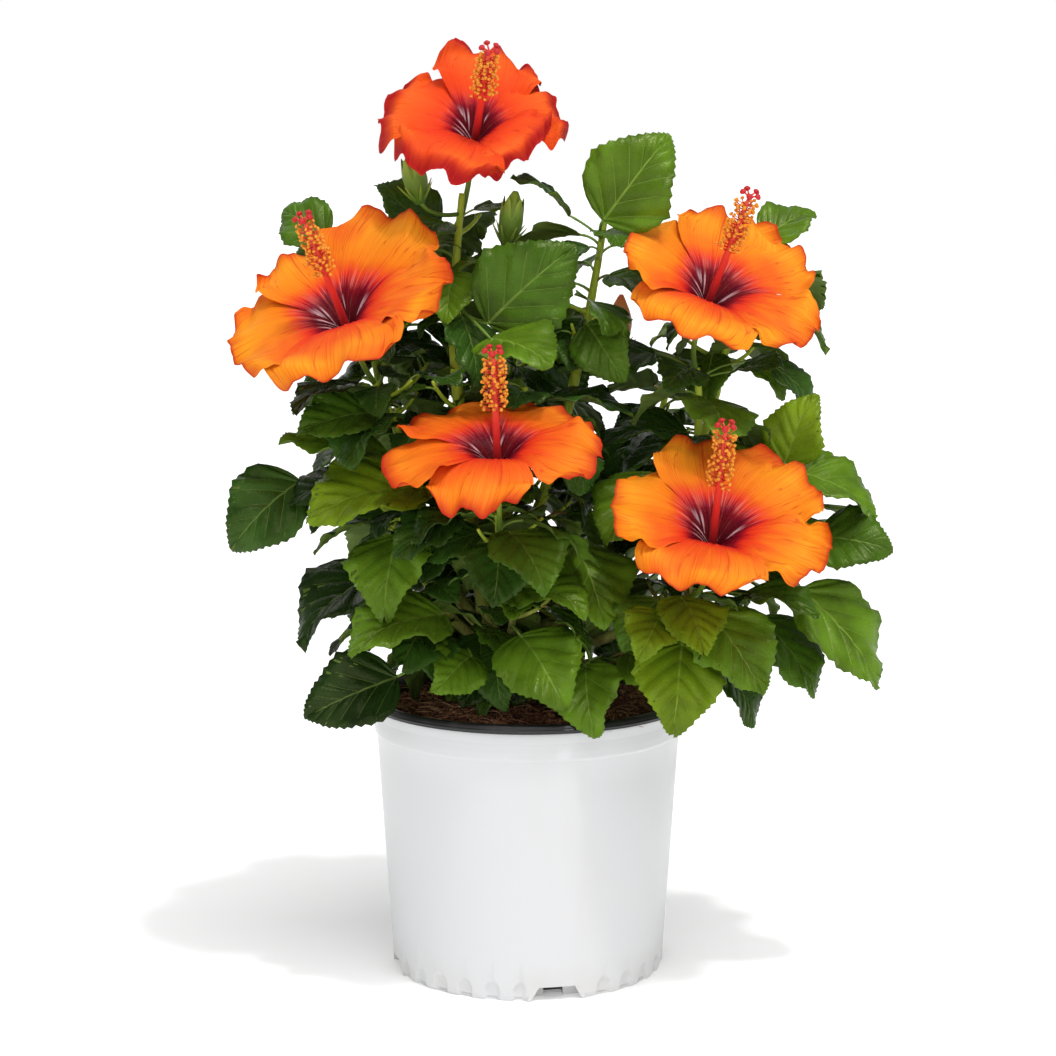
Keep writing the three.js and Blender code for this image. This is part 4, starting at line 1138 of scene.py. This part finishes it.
def leaf_mesh(leaf, settings, random, veins):
    """Both faces of one leaf with its teeth, sunken veins and waved edge."""
    rows = leaf_rows(veins)
    middle, edge, step, bite = (rows[:, k : k + 1] for k in range(4))
    u = ACROSS[None, :]
    size = leaf["length"]
    far = np.abs(u)
    narrowing = 0.0064 * far * (step == STEPS[1])
    s = middle + (edge - middle) * far ** lerp(0.9, 1.15, random.uniform()) - narrowing
    tooth = settings.teeth * smooth(0.12, 0.4, edge) * (1 - 0.5 * edge) * bite
    half = LEAF_WIDTH * size / 2 * leaf_width(edge) * random.uniform(1.0, 1.18)
    lean = random.uniform(-0.06, 0.06)
    lobe = settings.lobe * random.uniform(-0.3, 1.0) * np.exp(-(((edge - 0.46) / 0.1) ** 2)) * far**3
    x = u * (half + (tooth + lobe) * size * far**4) + lean * size * s * s
    midrib = far < 0.1
    x = np.where(midrib, np.sign(u) * size * (0.003 + 0.010 * (1 - middle)) + lean * size * s * s, x)
    y = size * (s + 0.3 * tooth * far**5)
    quilt = np.sin(np.pi * np.clip(step, 0, 1)) * np.sin(np.pi * far**0.75) ** 0.8
    waves = random.uniform(1.4, 3.4, 2)
    shift = random.uniform(0, 2 * np.pi, 2)
    side = (u > 0).astype(int)
    sway = np.sin(2 * np.pi * waves[side] * edge + shift[side]) * far**2.2
    ripple = np.sin(2 * np.pi * 6.3 * edge + shift[1 - side]) * far**5
    z = LEAF_ARCH * size * s * (1 - s) + leaf["fold"] * half * far**1.25
    z = z + settings.quilt * size * quilt
    z = z + size * smooth(0.1, 0.5, edge) * (settings.wave * sway + 0.012 * ripple)
    z = z - 0.006 * size * midrib - 0.010 * size * (step < 0.1) * (1 - far)
    z = z - settings.curl * random.uniform(0.2, 1.5) * size * smooth(0.5, 1.1, s) ** 2
    twist = random.uniform(-0.55, 0.55) * s
    x, z = x * np.cos(twist) - z * np.sin(twist), z * np.cos(twist) + x * np.sin(twist)
    across, along, face = leaf_frame(leaf)
    tip = leaf["foot"] + size * (lean * across + along - 0.35 * settings.curl * face)
    top = leaf["foot"] + x[..., None] * across + y[..., None] * along + z[..., None] * face
    top = np.concatenate([[leaf["foot"]], top.reshape(-1, 3), [tip]])
    n, columns = len(rows), len(ACROSS)
    body = grid(n, columns) + 1
    r, c = np.divmod(np.arange(len(body)), columns - 1)
    inside = np.maximum(far[0, c], far[0, c + 1]) < 1
    on_vein = (c == MIDRIB) | ((step[r, 0] == 0.0) & inside)
    k = np.arange(columns - 1)
    first = np.stack([np.zeros(columns - 1, int), k + 2, k + 1], -1)
    end_row = (n - 1) * columns + k
    last = np.stack([np.full(columns - 1, len(top) - 1), end_row + 1, end_row + 2], -1)
    under = top - settings.leaf_thickness / MM * face
    count = len(top)
    left = np.concatenate([[0], 1 + columns * np.arange(n), [count - 1]])
    right = np.concatenate([[0], columns * (1 + np.arange(n)), [count - 1]])
    rims = []
    for line, flip in ((left, False), (right, True)):
        a, b = line[:-1], line[1:]
        rim = np.stack([a, b, b + count, a + count], -1)
        rims.append(rim[:, ::-1] if flip else rim)
    return np.concatenate([top, under]), body, first, last, on_vein, rims, count


def add_leaf(joined, leaf, tint, settings, random, veins):
    points, body, first, last, on_vein, rims, count = leaf_mesh(leaf, settings, random, veins)
    upper = [body, first, last]
    faces = [*upper, *((part + count)[:, ::-1] for part in upper), *rims]
    looks = [np.where(on_vein, VEIN + tint, tint), tint, tint, UNDERSIDE, UNDERSIDE, UNDERSIDE, tint, tint]
    joined.add(points, faces, looks)


def add_stalk(joined, leaf, random):
    """The leaf's stalk: out of the twig and round into the leaf's own heading."""
    along = heading(leaf["azimuth"], -leaf["droop"])
    start, end = leaf["root"], leaf["foot"]
    reach = np.linalg.norm(end - start)
    via = lerp(start, end, 0.62) - 0.22 * reach * along + 0.1 * reach * UP * random.uniform(0.4, 1.2)
    line = arc_points(start, via, end + 0.6 * along, 7)
    thick = 0.011 * leaf["length"] + 0.32
    points, faces = tube(line, thick * np.array([1.6, 1.15, 1, 0.95, 0.95, 1.05, 0.8]), 6)
    joined.add(points, faces, STALK)


def shaded_tint_for(leaf, random):
    """Painted light and shade: lighter tints in front and to the right, deeper ones low and behind; leading
    leaves have their own.
    """
    x, y, z = leaf_tip(leaf)
    sun = 0.36 + 0.0005 * (z - 330) + 0.0011 * x - 0.0007 * y + random.normal(0, 0.22)
    return leaf.get("tint", int(np.clip(round(5 * sun - 0.6), 0, len(LEAF_SHADED_TINTS) - 1)))


def leaf_spots(leaf):
    """A few points of a leaf's blade, to keep others clear of."""
    across, along, face = leaf_frame(leaf)
    spots = []
    for s in (0.12, 0.38, 0.64, 0.9):
        for u in (-0.7, 0, 0.7):
            rise = LEAF_ARCH * leaf["length"] * s * (1 - s)
            half = LEAF_WIDTH * leaf["length"] / 2 * float(leaf_width(s))
            spots.append(leaf["foot"] + u * half * across + s * leaf["length"] * along + rise * face)
    return np.array(spots)


def fine_growth(mass, stem, bough, settings):
    """The rule carried on: finer twigs and smaller leaves in the mass's own reach and along its bough."""
    random = chance(mass["seed"] + 5000)
    size = mass["size"]
    on_twigs, on_stem, on_inner = (share * size for share in FINE_SIZES)
    start = 360 * random()
    leaves = []
    for twig in side_twigs(stem, settings.fine_twigs, start, settings.fine_share * size, random):
        grown = spiral_leaves(twig["curve"], settings.fine_leaves, twig["azimuth"], on_twigs, random)
        leaves += [dict(leaf, twig=twig) for leaf in grown]
    leaves += spiral_leaves(stem, FINE_STEM_LEAVES, start + 70, on_stem, random)
    for twig in side_twigs(bough, settings.inner_twigs, start + 30, 0.8 * size, random):
        grown = spiral_leaves(twig["curve"], INNER_LEAVES, twig["azimuth"], on_inner, random)
        leaves += [dict(leaf, twig=twig) for leaf in grown]
    return leaves


def in_the_open(spots):
    """Whether any of a leaf's spots lies in one of the ovals that are kept open."""
    return any(np.min(np.hypot((spots[:, 0] - x) / a, (spots[:, 2] - z) / b)) < 1 for x, z, a, b in OPEN)


def build_foliage(settings):
    """One piece of leaves and one of twigs for each side; fine leaves only where there is room."""
    limbs = grow_limbs()
    # One look for each leaf tint with its painted shade and light, and a vein look to match each.
    leaf_looks = [leaf_look(f"leaf_shaded_tint_{k}", colour, 0.27) for k, colour in enumerate(LEAF_SHADED_TINTS)]
    leaf_looks += [underside_look()]
    leaf_looks += [vein_look(f"leaf_vein_shaded_{k}", colour) for k, colour in enumerate(LEAF_SHADED_TINTS)]
    twig_looks = [bark_look(), stalk_look()]
    taken = [node_points(name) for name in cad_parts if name.startswith(("bloom", "bud", "pot", "soil"))]
    grown = {}
    for mass in MASSES:
        leaves = growth_of(mass, limbs[mass["name"]]["curve"])
        grown[mass["name"]] = set_leaves(mass, leaves)
        taken += [leaf_spots(leaf) for leaf in grown[mass["name"]]]
    taken = np.concatenate(taken)
    for group, members in GROUPS.items():
        leaves, twigs = Joined(), Joined()
        for mass in (m for m in MASSES if m["name"] in members):
            stem = limbs[mass["name"]]
            random = np.random.default_rng(mass["seed"])
            kept = grown[mass["name"]]
            fine = []
            for leaf in fine_growth(mass, stem["curve"], limbs[mass["on"]]["curve"], settings):
                spots = leaf_spots(leaf)
                if in_the_open(spots) or spots[:, 2].min() <= SOIL_TOP + SOIL_GAP:
                    continue
                gaps = np.linalg.norm(taken[None] - spots[:, None], axis=2)
                if gaps.min() > settings.clearance / MM:
                    fine.append(leaf)
                    taken = np.concatenate([taken, spots])
            radius = limb_radius(stem, mass["name"])
            twigs.add(*barked_tube(stem["curve"], radius, 14, settings, mass["seed"], 2.5), STEM_BARK)
            shown = {id(leaf["twig"]): leaf["twig"] for leaf in kept + fine if "twig" in leaf}
            for twig in shown.values():
                line = along_arc(twig["curve"], np.linspace(0, 1, 12))
                twigs.add(*tube(line, np.linspace(1.75, 1.0, 12), 8), STEM_BARK)
            for some, veins in ((kept, VEINS), (fine, FEW_VEINS)):
                for leaf in some:
                    add_leaf(leaves, leaf, shaded_tint_for(leaf, random), settings, random, veins)
                    add_stalk(twigs, leaf, random)
        leaves.make(f"leaves_{group}", leaf_looks, "foliage", members)
        twigs.make(f"twigs_{group}", twig_looks, "foliage", members)


# ---- Blooms and buds ----
BRACTS = 7


def bloom_frame(bloom):
    """The bloom's directions: to the shrub's right, to its top, and out of its face."""
    face = unit(np.array(bloom["axis"], float))
    right = unit(np.array([1.0, 0, 0]) - face[0] * face)
    return np.array([right, np.cross(face, right), face])


def petal_mesh(bloom, k, settings, random):
    """Petal k as one rounded sheet: s runs out from the throat, u from edge to edge."""
    rows, columns = 44, 37
    s = np.linspace(0.0, 1, rows)[:, None] ** 0.9
    u = np.linspace(-1, 1, columns)[None, :]
    size = bloom["span"] / 2
    curled = bloom["name"] == "bloom_top"
    reach = size * bloom["reach"][k] * (0.93 if curled else 1.0)
    far = np.abs(u)
    bend = np.clip((s - 0.4) / 0.6, 0, 1)
    half = 0.68 * size * bloom["wide"][k] * np.sin(np.pi * (0.045 + 0.55 * s**1.3))
    half = half * np.sqrt(1 - 0.42 * bend**2)
    along = reach * (np.minimum(s, 0.4) + 0.62 * bend * np.sqrt(1 - 0.42 * far**2.4))
    rise = 0.36 * size * (1 - np.exp(-4.5 * s)) - bloom["nod"][k] * s * s + 3 * u * s
    a, b, c, d, e = random.uniform(0, 2 * np.pi, 5)
    ruffle = settings.ruffle * reach * (1.6 if curled else 1.0)
    rim = far**2.4 * smooth(0.25, 0.9, s) * (1 - 0.4 * smooth(0.78, 1.0, s))
    rise = rise + ruffle * rim * np.sin(2 * np.pi * 1.9 * s + np.where(u > 0, a, b))
    rise = rise + 0.75 * ruffle * s**4 * np.sin(np.pi * 2.3 * u + c)
    rise = rise + 0.16 * ruffle * smooth(0.78, 1.0, s) * np.sin(np.pi * 6.0 * u + d)
    rise = rise + 0.2 * ruffle * rim * np.sin(2 * np.pi * 5.5 * s + e)
    lobes = np.sqrt(0.03 + np.cos(np.pi * random.uniform(1.2, 1.9) * u + e) ** 2)
    along = along + 0.42 * ruffle * smooth(0.72, 1.0, s) * (lobes - 0.7)
    along = along + 0.1 * ruffle * smooth(0.9, 1.0, s) * np.abs(np.sin(np.pi * 5 * u + b))
    half = half + 0.07 * ruffle * smooth(0.4, 0.9, s) * np.sin(2 * np.pi * 3.6 * s + d)
    if curled:
        rise = rise - 0.11 * size * smooth(0.82, 1.0, s) ** 2
        rise = rise - 0.05 * size * smooth(0.82, 1.0, far) * smooth(0.4, 0.8, s)
    ribs = 0.4 * np.cos(np.pi * 9 * u) + 0.25 * np.cos(np.pi * 17 * u + a)
    ribs = ribs * smooth(0.05, 0.3, s) * (1 - 0.6 * s)
    rise = rise + ribs - 0.9 * np.exp(-((u / 0.1) ** 2)) * smooth(0.1, 0.5, s) * (1 - s)
    turn = math.radians(bloom["turn"] + 72 * k + bloom["splay"][k])
    x = along * math.cos(turn) - half * u * math.sin(turn)
    y = along * math.sin(turn) + half * u * math.cos(turn)
    local = np.stack([x, y, rise - THROAT_DEPTH * (1 - s)], -1)
    points = np.array(bloom["throat"], float) + local.reshape(-1, 3) @ bloom_frame(bloom)
    places = np.stack(np.broadcast_arrays(0.5 + 0.5 * u + 1.7 * k, s), -1)
    return points, [grid(rows, columns)], 0, places


def rod_map(rings, sides):
    """Round and along a tube, with its two end points."""
    along, turn = np.meshgrid(np.linspace(0, 1, rings), np.arange(sides) / sides, indexing="ij")
    return np.concatenate([np.stack([turn, along], -1).reshape(-1, 2), [[0, 0], [0, 1]]])


def small_ball(centre, size, ahead, rings=5, sides=7):
    """A small closed pad or sac, longer along the way it points."""
    t = np.linspace(0.02, 0.98, rings)
    radius = size[0] * np.sin(np.pi * t) ** 0.7
    return tube(centre + (t[:, None] - 0.5) * size[1] * ahead, radius, sides)


def add_column(bloom, columns, anthers, stigmas, settings, random):
    """The staminal column with its anthers on short filaments and five stigmas at its end."""
    face = bloom_frame(bloom)[2]
    foot = np.array(bloom["throat"], float) - THROAT_DEPTH * face
    end = np.array(bloom["stigma"], float)
    curve = arc(foot, lerp(foot, end, 0.5) + 4 * face, end)
    rings, sides, blunt_end = 34, 14, 0.955
    t = np.linspace(0, blunt_end, rings)
    radius = np.interp(t, [0, 0.08, 0.45, 0.9, blunt_end], [3.6, 2.7, 2.2, 1.5, 1.1])
    columns.add(*tube(along_arc(curve, t), radius, sides), 0, rod_map(rings, sides))
    for k in range(settings.anthers):
        share = 0.5 + 0.42 * ((k + random.uniform(0, 1)) / settings.anthers)
        ahead = arc_heading(curve, share)
        side = unit(np.cross(ahead, [0.3, 0.9, 0.2]))
        turn = math.radians(SPIRAL * k + random.uniform(-20, 20))
        out = math.cos(turn) * side + math.sin(turn) * np.cross(ahead, side)
        way = unit(out + ahead * random.uniform(0.25, 0.7))
        start = along_arc(curve, share) + 1.2 * out
        length = random.uniform(5.2, 8.4) * (1.15 - 0.4 * share)
        tip = start + length * way
        line = arc_points(start, start + 0.5 * length * out, tip, 4)
        columns.add(*tube(line, [0.34, 0.28, 0.25, 0.22], 4), 0, rod_map(4, 4))
        level = unit(np.cross(way, random.normal(size=3)))
        anthers.add(*small_ball(tip, (random.uniform(0.95, 1.35), 2.6), level))
    ahead = arc_heading(curve, 0.95)
    side = unit(np.cross(ahead, [0.2, 0.9, 0.3]))
    for k in range(5):
        turn = math.radians(72 * k + 20)
        out = math.cos(turn) * side + math.sin(turn) * np.cross(ahead, side)
        start = along_arc(curve, 0.95)
        tip = start + 5.5 * ahead + 5.2 * out
        line = arc_points(start, start + 3.5 * ahead, tip, 6)
        columns.add(*tube(line, np.linspace(0.75, 0.5, 6), 6), 0, rod_map(6, 6))
        stigmas.add(*small_ball(tip, (2.2, 3.4), unit(ahead + 0.7 * out), 7, 10))


def add_calyx(joined, foot, ahead, length, radius, lobes=5, spread=0.35):
    """A tube that opens into pointed lobes, with a ring of narrow bracts at its foot."""
    rows, sides = 14, 50
    side = unit(np.cross(ahead, [0.31, 0.87, 0.38]))
    other = np.cross(ahead, side)
    t = np.linspace(0, 1, rows)[:, None]
    angles = np.linspace(0, 2 * np.pi, sides, endpoint=False)[None, :]
    lobe = np.abs(np.cos(lobes * angles / 2)) ** 0.8
    reach = length * t * (1 - 0.42 * smooth(0.45, 1, t) * (1 - lobe))
    wide = radius * (0.22 + 0.78 * np.sin(np.pi * np.clip(0.06 + 0.5 * t, 0, 0.5))) * (1 + spread * t**3)
    wide = wide * (1 + 0.05 * np.cos(2 * lobes * angles) * (1 - t))
    points = foot + reach[..., None] * ahead + wide[..., None] * (
        np.cos(angles)[..., None] * side + np.sin(angles)[..., None] * other
    )
    places = np.stack(np.broadcast_arrays(angles / (2 * np.pi), t), -1)
    joined.add(points.reshape(-1, 3), [grid(rows, sides, wrap=True)], 0, places)
    for k in range(BRACTS):
        turn = 2 * math.pi * (k + 0.5) / BRACTS
        out = math.cos(turn) * side + math.sin(turn) * other
        via = foot + 0.5 * radius * out + 0.1 * length * ahead
        line = arc_points(foot, via, foot + 1.35 * radius * out + 0.46 * length * ahead, 8)
        thick = radius * 0.13 * np.sin(np.pi * np.linspace(0.25, 0.97, 8)) ** 0.8
        joined.add(*tube(line, thick, 6), 0, rod_map(8, 6))


def build_blooms(settings):
    limbs = grow_limbs()
    columns, anthers, stigmas, calyces = Joined(), Joined(), Joined(), Joined()
    looks = {
        "bloom_top": petal_look("petals_red", 1.15),
        "bloom_centre": petal_look("petals_red_orange", 0.5),
    }
    orange = petal_look("petals_orange", 0.0)
    names = [bloom["name"] for bloom in BLOOMS]
    for number, bloom in enumerate(BLOOMS):
        random = np.random.default_rng(settings.seed + number)
        petals = Joined()
        for k in range(5):
            petals.add(*petal_mesh(bloom, k, settings, random))
        name = bloom["name"]
        petals.make(f"{name}_petals", [looks.get(name, orange)], "petals", [name])
        add_column(bloom, columns, anthers, stigmas, settings, random)
        face = bloom_frame(bloom)[2]
        throat = np.array(bloom["throat"], float)
        neck = throat - CALYX_LENGTH * face
        add_calyx(calyces, neck + 8 * face, face, CALYX_LENGTH - 7, 8.2)
        stem = limbs[bloom["on"]]["curve"]
        start = along_arc(stem, bloom["at"])
        via = neck - 0.4 * np.linalg.norm(start - neck) * face
        line = arc_points(start, via, neck + 10 * face, 16)
        calyces.add(*tube(line, np.linspace(1.9, 1.7, 16), 10), 0, rod_map(16, 10))
    pollen = grainy_look("pollen", (0.86, 0.3, 0.02), 0.8, 1400)
    pads = grainy_look("stigma_pads", (0.5, 0.006, 0.01), 0.6, 1500)
    columns.make("bloom_columns", [column_look()], "petals", names)
    anthers.make("bloom_anthers", [pollen], "petals", names)
    stigmas.make("bloom_stigmas", [pads], "petals", names)
    calyces.make("bloom_calyces", [calyx_look()], "buds", names)


def build_buds():
    """Two closed green buds at the crown, and one that shows its rolled petals."""
    limbs = grow_limbs()
    green, petals = Joined(), Joined()
    for bud in BUDS:
        foot, tip = np.array(bud["foot"], float), np.array(bud["tip"], float)
        ahead, length = unit(tip - foot), float(np.linalg.norm(tip - foot))
        stem = limbs[bud["on"]]["curve"]
        start = along_arc(stem, bud["at"])
        line = arc_points(start, foot - 0.4 * (tip - foot), foot + 0.12 * (tip - foot), 14)
        green.add(*tube(line, np.linspace(1.5, 1.3, 14), 8), 0, rod_map(14, 8))
        opening = bud["name"] == "bud_orange"
        rings, sides = 26, 40
        t = np.linspace(0.0, 1, rings)
        angles = np.linspace(0, 2 * np.pi, sides, endpoint=False)[None, :]
        if opening:
            swirl = 0.09 * np.abs(np.cos(2.5 * (angles + 2.2 * t[:, None])))
            blunt, share, target = 0.9, 0.62, petals
        else:
            swirl = 0.05 * np.cos(5 * angles)
            blunt, share, target = 0.75, 0.95, green
        radius = bud["radius"] * np.sin(np.pi * (0.06 + 0.9 * t**0.85)) ** blunt
        shape = tube(foot + t[:, None] * length * ahead, 0.86 * radius[:, None] * (1 + swirl), sides)
        target.add(*shape, 0, rod_map(rings, sides))
        add_calyx(green, foot - 2 * ahead, ahead, length * share, bud["radius"] * 0.98, 5, -0.25)
    names = [bud["name"] for bud in BUDS]
    green.make("bud_calyces", [calyx_look()], "buds", names)
    petals.make("bud_petals", [bud_look()], "buds", ["bud_orange"])


# ---- Stage ----
def build_stage(settings):
    """A pale floor out to a bright horizon, a key light in two widths, and soft light from all round."""
    half = settings.floor_size / 2
    mesh = bpy.data.meshes.new("studio_floor")
    corners = [(-half, -half, 0), (half, -half, 0), (half, half, 0), (-half, half, 0)]
    mesh.from_pydata(corners, [], [(0, 1, 2, 3)])
    mesh.materials.append(floor_look())
    floor = bpy.data.objects.new("studio_floor", mesh)
    bpy.context.scene.collection.objects.link(floor)

    for name, way, strength, spread in (
        ("key", settings.key_way, 0.35 * settings.key_strength, math.radians(4)),
        ("wide_key", settings.key_way, 0.65 * settings.key_strength, settings.key_spread),
        ("fill", (-0.35, -1.0, 0.45), settings.fill_strength, math.radians(70)),
        ("rim", (-0.5, 0.9, 0.9), settings.fill_strength * 0.5, math.radians(40)),
    ):
        light = bpy.data.lights.new(name, "SUN")
        light.energy = strength
        light.angle = spread
        lamp = bpy.data.objects.new(name, light)
        lamp.location = Vector(way) * 3
        lamp.rotation_euler = Vector(way).to_track_quat("Z", "Y").to_euler()
        bpy.context.scene.collection.objects.link(lamp)

    world = bpy.data.worlds.new("studio")
    world.use_nodes = True
    tree = world.node_tree
    place = tree.nodes.new("ShaderNodeTexCoord")
    split = tree.nodes.new("ShaderNodeSeparateXYZ")
    height = tree.nodes.new("ShaderNodeMapRange")
    tree.links.new(place.outputs["Generated"], split.inputs[0])
    tree.links.new(split.outputs["Z"], height.inputs["Value"])
    horizon = {"From Min": 0.06, "From Max": 0.32, "To Min": 1.0, "To Max": settings.room_light}
    for key, value in horizon.items():
        height.inputs[key].default_value = value
    tree.links.new(height.outputs["Result"], tree.nodes["Background"].inputs["Strength"])
    tree.nodes["Background"].inputs["Color"].default_value = (1.0, 1.0, 1.0, 1)
    scene = bpy.context.scene
    scene.world = world
    scene.view_settings.view_transform = "Standard"

    camera = bpy.data.cameras.new("camera")
    camera.sensor_width = 36
    camera.lens = settings.lens
    eye = bpy.data.objects.new("camera", camera)
    eye.location = (0, -settings.camera_distance, settings.camera_height)
    eye.rotation_euler = (math.pi / 2 - settings.camera_pitch, 0, 0)
    scene.collection.objects.link(eye)
    scene.camera = eye


# ---- Settings ----
class PotSettings(bpy.types.PropertyGroup):
    sides: IntProperty(name="Sides", description="Points round the pot", default=600)
    wall: FloatProperty(name="Wall", description="Thickness of the white wall", default=0.0018, unit="LENGTH")
    flutes: IntProperty(name="Flutes", description="Shallow flutes round the pot's foot", default=30)
    flute_depth: FloatProperty(
        name="Flute depth", description="Depth of a flute", default=0.0022, unit="LENGTH",
    )


class SoilSettings(bpy.types.PropertyGroup):
    crumbs: IntProperty(name="Crumbs", description="Loose crumbs on the potting mix", default=5200)
    fibres: IntProperty(name="Fibres", description="Coir fibres on the potting mix", default=1500)
    seed: IntProperty(name="Seed", description="Seed of their places", default=4)


class PlantSettings(bpy.types.PropertyGroup):
    relief: FloatProperty(
        name="Relief", description="Wrinkles of the bark, as a share of a limb's radius", default=0.07,
    )
    scars: FloatProperty(
        name="Leaf scars", description="Swelling at a leaf scar, as a share of the radius", default=0.09,
    )
    teeth: FloatProperty(
        name="Teeth", description="Depth of a leaf's teeth, as a share of its length", default=0.022,
    )
    lobe: FloatProperty(
        name="Lobes", description="Side lobes of a leaf, as a share of its length", default=0.05,
    )
    quilt: FloatProperty(
        name="Quilting", description="Rise between the side veins, as a share of length", default=0.016,
    )
    wave: FloatProperty(
        name="Wave", description="Wave of a leaf's edge, as a share of its length", default=0.045,
    )
    curl: FloatProperty(
        name="Curl", description="Fall of a leaf's tip, as a share of its length", default=0.1,
    )
    leaf_thickness: FloatProperty(
        name="Leaf thickness", description="Thickness of a leaf", default=0.0004, unit="LENGTH",
    )
    clearance: FloatProperty(
        name="Clearance", description="Space round a fine leaf", default=0.0065, unit="LENGTH",
    )
    fine_twigs: IntProperty(name="Fine twigs", description="Finer side twigs tried on each stem", default=6)
    fine_leaves: IntProperty(
        name="Fine leaves", description="Smaller leaves tried on each finer twig", default=5,
    )
    inner_twigs: IntProperty(
        name="Inner twigs", description="Leafy twigs tried on each mass's bough", default=7,
    )
    fine_share: FloatProperty(
        name="Fine share", description="Length of finer twigs against the mass's own", default=0.7,
    )


class BloomSettings(bpy.types.PropertyGroup):
    ruffle: FloatProperty(
        name="Ruffle", description="Height of a petal's waves, as a share of its length", default=0.075,
    )
    anthers: IntProperty(name="Anthers", description="Anthers on each column", default=120)
    seed: IntProperty(name="Seed", description="Seed of the petals' waves", default=30)


class StageSettings(bpy.types.PropertyGroup):
    camera_distance: FloatProperty(
        name="Distance", description="Camera in front of the axis", default=1.75, unit="LENGTH",
    )
    camera_height: FloatProperty(
        name="Height", description="Camera over the floor", default=0.555, unit="LENGTH",
    )
    camera_pitch: FloatProperty(
        name="Pitch", description="Camera's tilt down", default=math.radians(8.42), unit="ROTATION",
    )
    lens: FloatProperty(name="Lens", description="Focal length in millimetres", default=90.95)
    floor_size: FloatProperty(name="Floor", description="Side of the floor", default=60, unit="LENGTH")
    key_strength: FloatProperty(name="Key", description="Strength of the key light", default=2.9)
    key_spread: FloatProperty(
        name="Key spread", description="Width of the key light", default=math.radians(55), unit="ROTATION"
    )
    key_way: FloatVectorProperty(
        name="Key way", description="Direction towards the key light", default=(0.35, -0.55, 1.6)
    )
    fill_strength: FloatProperty(name="Fill", description="Strength of the fill light", default=0.6)
    room_light: FloatProperty(name="Room light", description="Strength of the light from above", default=0.2)


# ---- Operators ----
class HIBISCUS_OT_pot(bpy.types.Operator):
    """Turns the white pot and cuts its drain notches"""

    bl_idname = "hibiscus.pot"
    bl_label = "Build the pot"

    def execute(self, context):
        build_pot(context.scene.hibiscus_pot)
        return {"FINISHED"}


class HIBISCUS_OT_liner(bpy.types.Operator):
    """Turns the black inner wall with its rolled lip"""

    bl_idname = "hibiscus.liner"
    bl_label = "Build the liner"

    def execute(self, context):
        build_liner(context.scene.hibiscus_pot)
        return {"FINISHED"}


class HIBISCUS_OT_soil(bpy.types.Operator):
    """Heaps the potting mix with its crumbs and fibres"""

    bl_idname = "hibiscus.soil"
    bl_label = "Build the potting mix"

    def execute(self, context):
        build_soil(context.scene.hibiscus_soil)
        return {"FINISHED"}


class HIBISCUS_OT_limbs(bpy.types.Operator):
    """Covers the trunk and boughs with bark"""

    bl_idname = "hibiscus.limbs"
    bl_label = "Build the trunk and boughs"

    def execute(self, context):
        build_limbs(context.scene.hibiscus_plant)
        return {"FINISHED"}


class HIBISCUS_OT_foliage(bpy.types.Operator):
    """Grows the twigs and leaves of every mass"""

    bl_idname = "hibiscus.foliage"
    bl_label = "Build the foliage"

    def execute(self, context):
        build_foliage(context.scene.hibiscus_plant)
        return {"FINISHED"}


class HIBISCUS_OT_blooms(bpy.types.Operator):
    """Opens the blooms: petals, columns, anthers, stigmas and calyces"""

    bl_idname = "hibiscus.blooms"
    bl_label = "Build the blooms"

    def execute(self, context):
        build_blooms(context.scene.hibiscus_bloom)
        return {"FINISHED"}


class HIBISCUS_OT_buds(bpy.types.Operator):
    """Grows the closed buds"""

    bl_idname = "hibiscus.buds"
    bl_label = "Build the buds"

    def execute(self, context):
        build_buds()
        return {"FINISHED"}


class HIBISCUS_OT_stage(bpy.types.Operator):
    """Sets the floor, the lights and the camera"""

    bl_idname = "hibiscus.stage"
    bl_label = "Set the stage"

    def execute(self, context):
        build_stage(context.scene.hibiscus_stage)
        return {"FINISHED"}


class HIBISCUS_PT_panel(bpy.types.Panel):
    """Lists the steps in the order they are made"""

    bl_label = "Hibiscus"
    bl_idname = "HIBISCUS_PT_panel"
    bl_space_type = "VIEW_3D"
    bl_region_type = "UI"
    bl_category = "Hibiscus"

    def draw(self, context):
        for operator in OPERATORS:
            self.layout.operator(operator.bl_idname)


SETTINGS = {
    "hibiscus_pot": PotSettings,
    "hibiscus_soil": SoilSettings,
    "hibiscus_plant": PlantSettings,
    "hibiscus_bloom": BloomSettings,
    "hibiscus_stage": StageSettings,
}
OPERATORS = (
    HIBISCUS_OT_stage,
    HIBISCUS_OT_pot,
    HIBISCUS_OT_liner,
    HIBISCUS_OT_soil,
    HIBISCUS_OT_limbs,
    HIBISCUS_OT_foliage,
    HIBISCUS_OT_blooms,
    HIBISCUS_OT_buds,
)


def register():
    for kind in (*SETTINGS.values(), *OPERATORS, HIBISCUS_PT_panel):
        bpy.utils.register_class(kind)
    for name, kind in SETTINGS.items():
        setattr(bpy.types.Scene, name, PointerProperty(type=kind))


def unregister():
    for name in SETTINGS:
        delattr(bpy.types.Scene, name)
    for kind in (HIBISCUS_PT_panel, *reversed(OPERATORS), *reversed(list(SETTINGS.values()))):
        bpy.utils.unregister_class(kind)


def main():
    register()
    bpy.ops.hibiscus.stage()
    bpy.ops.hibiscus.pot()
    bpy.ops.hibiscus.liner()
    bpy.ops.hibiscus.soil()
    bpy.ops.hibiscus.limbs()
    bpy.ops.hibiscus.foliage()
    bpy.ops.hibiscus.blooms()
    bpy.ops.hibiscus.buds()


if __name__ == "__main__":
    main()
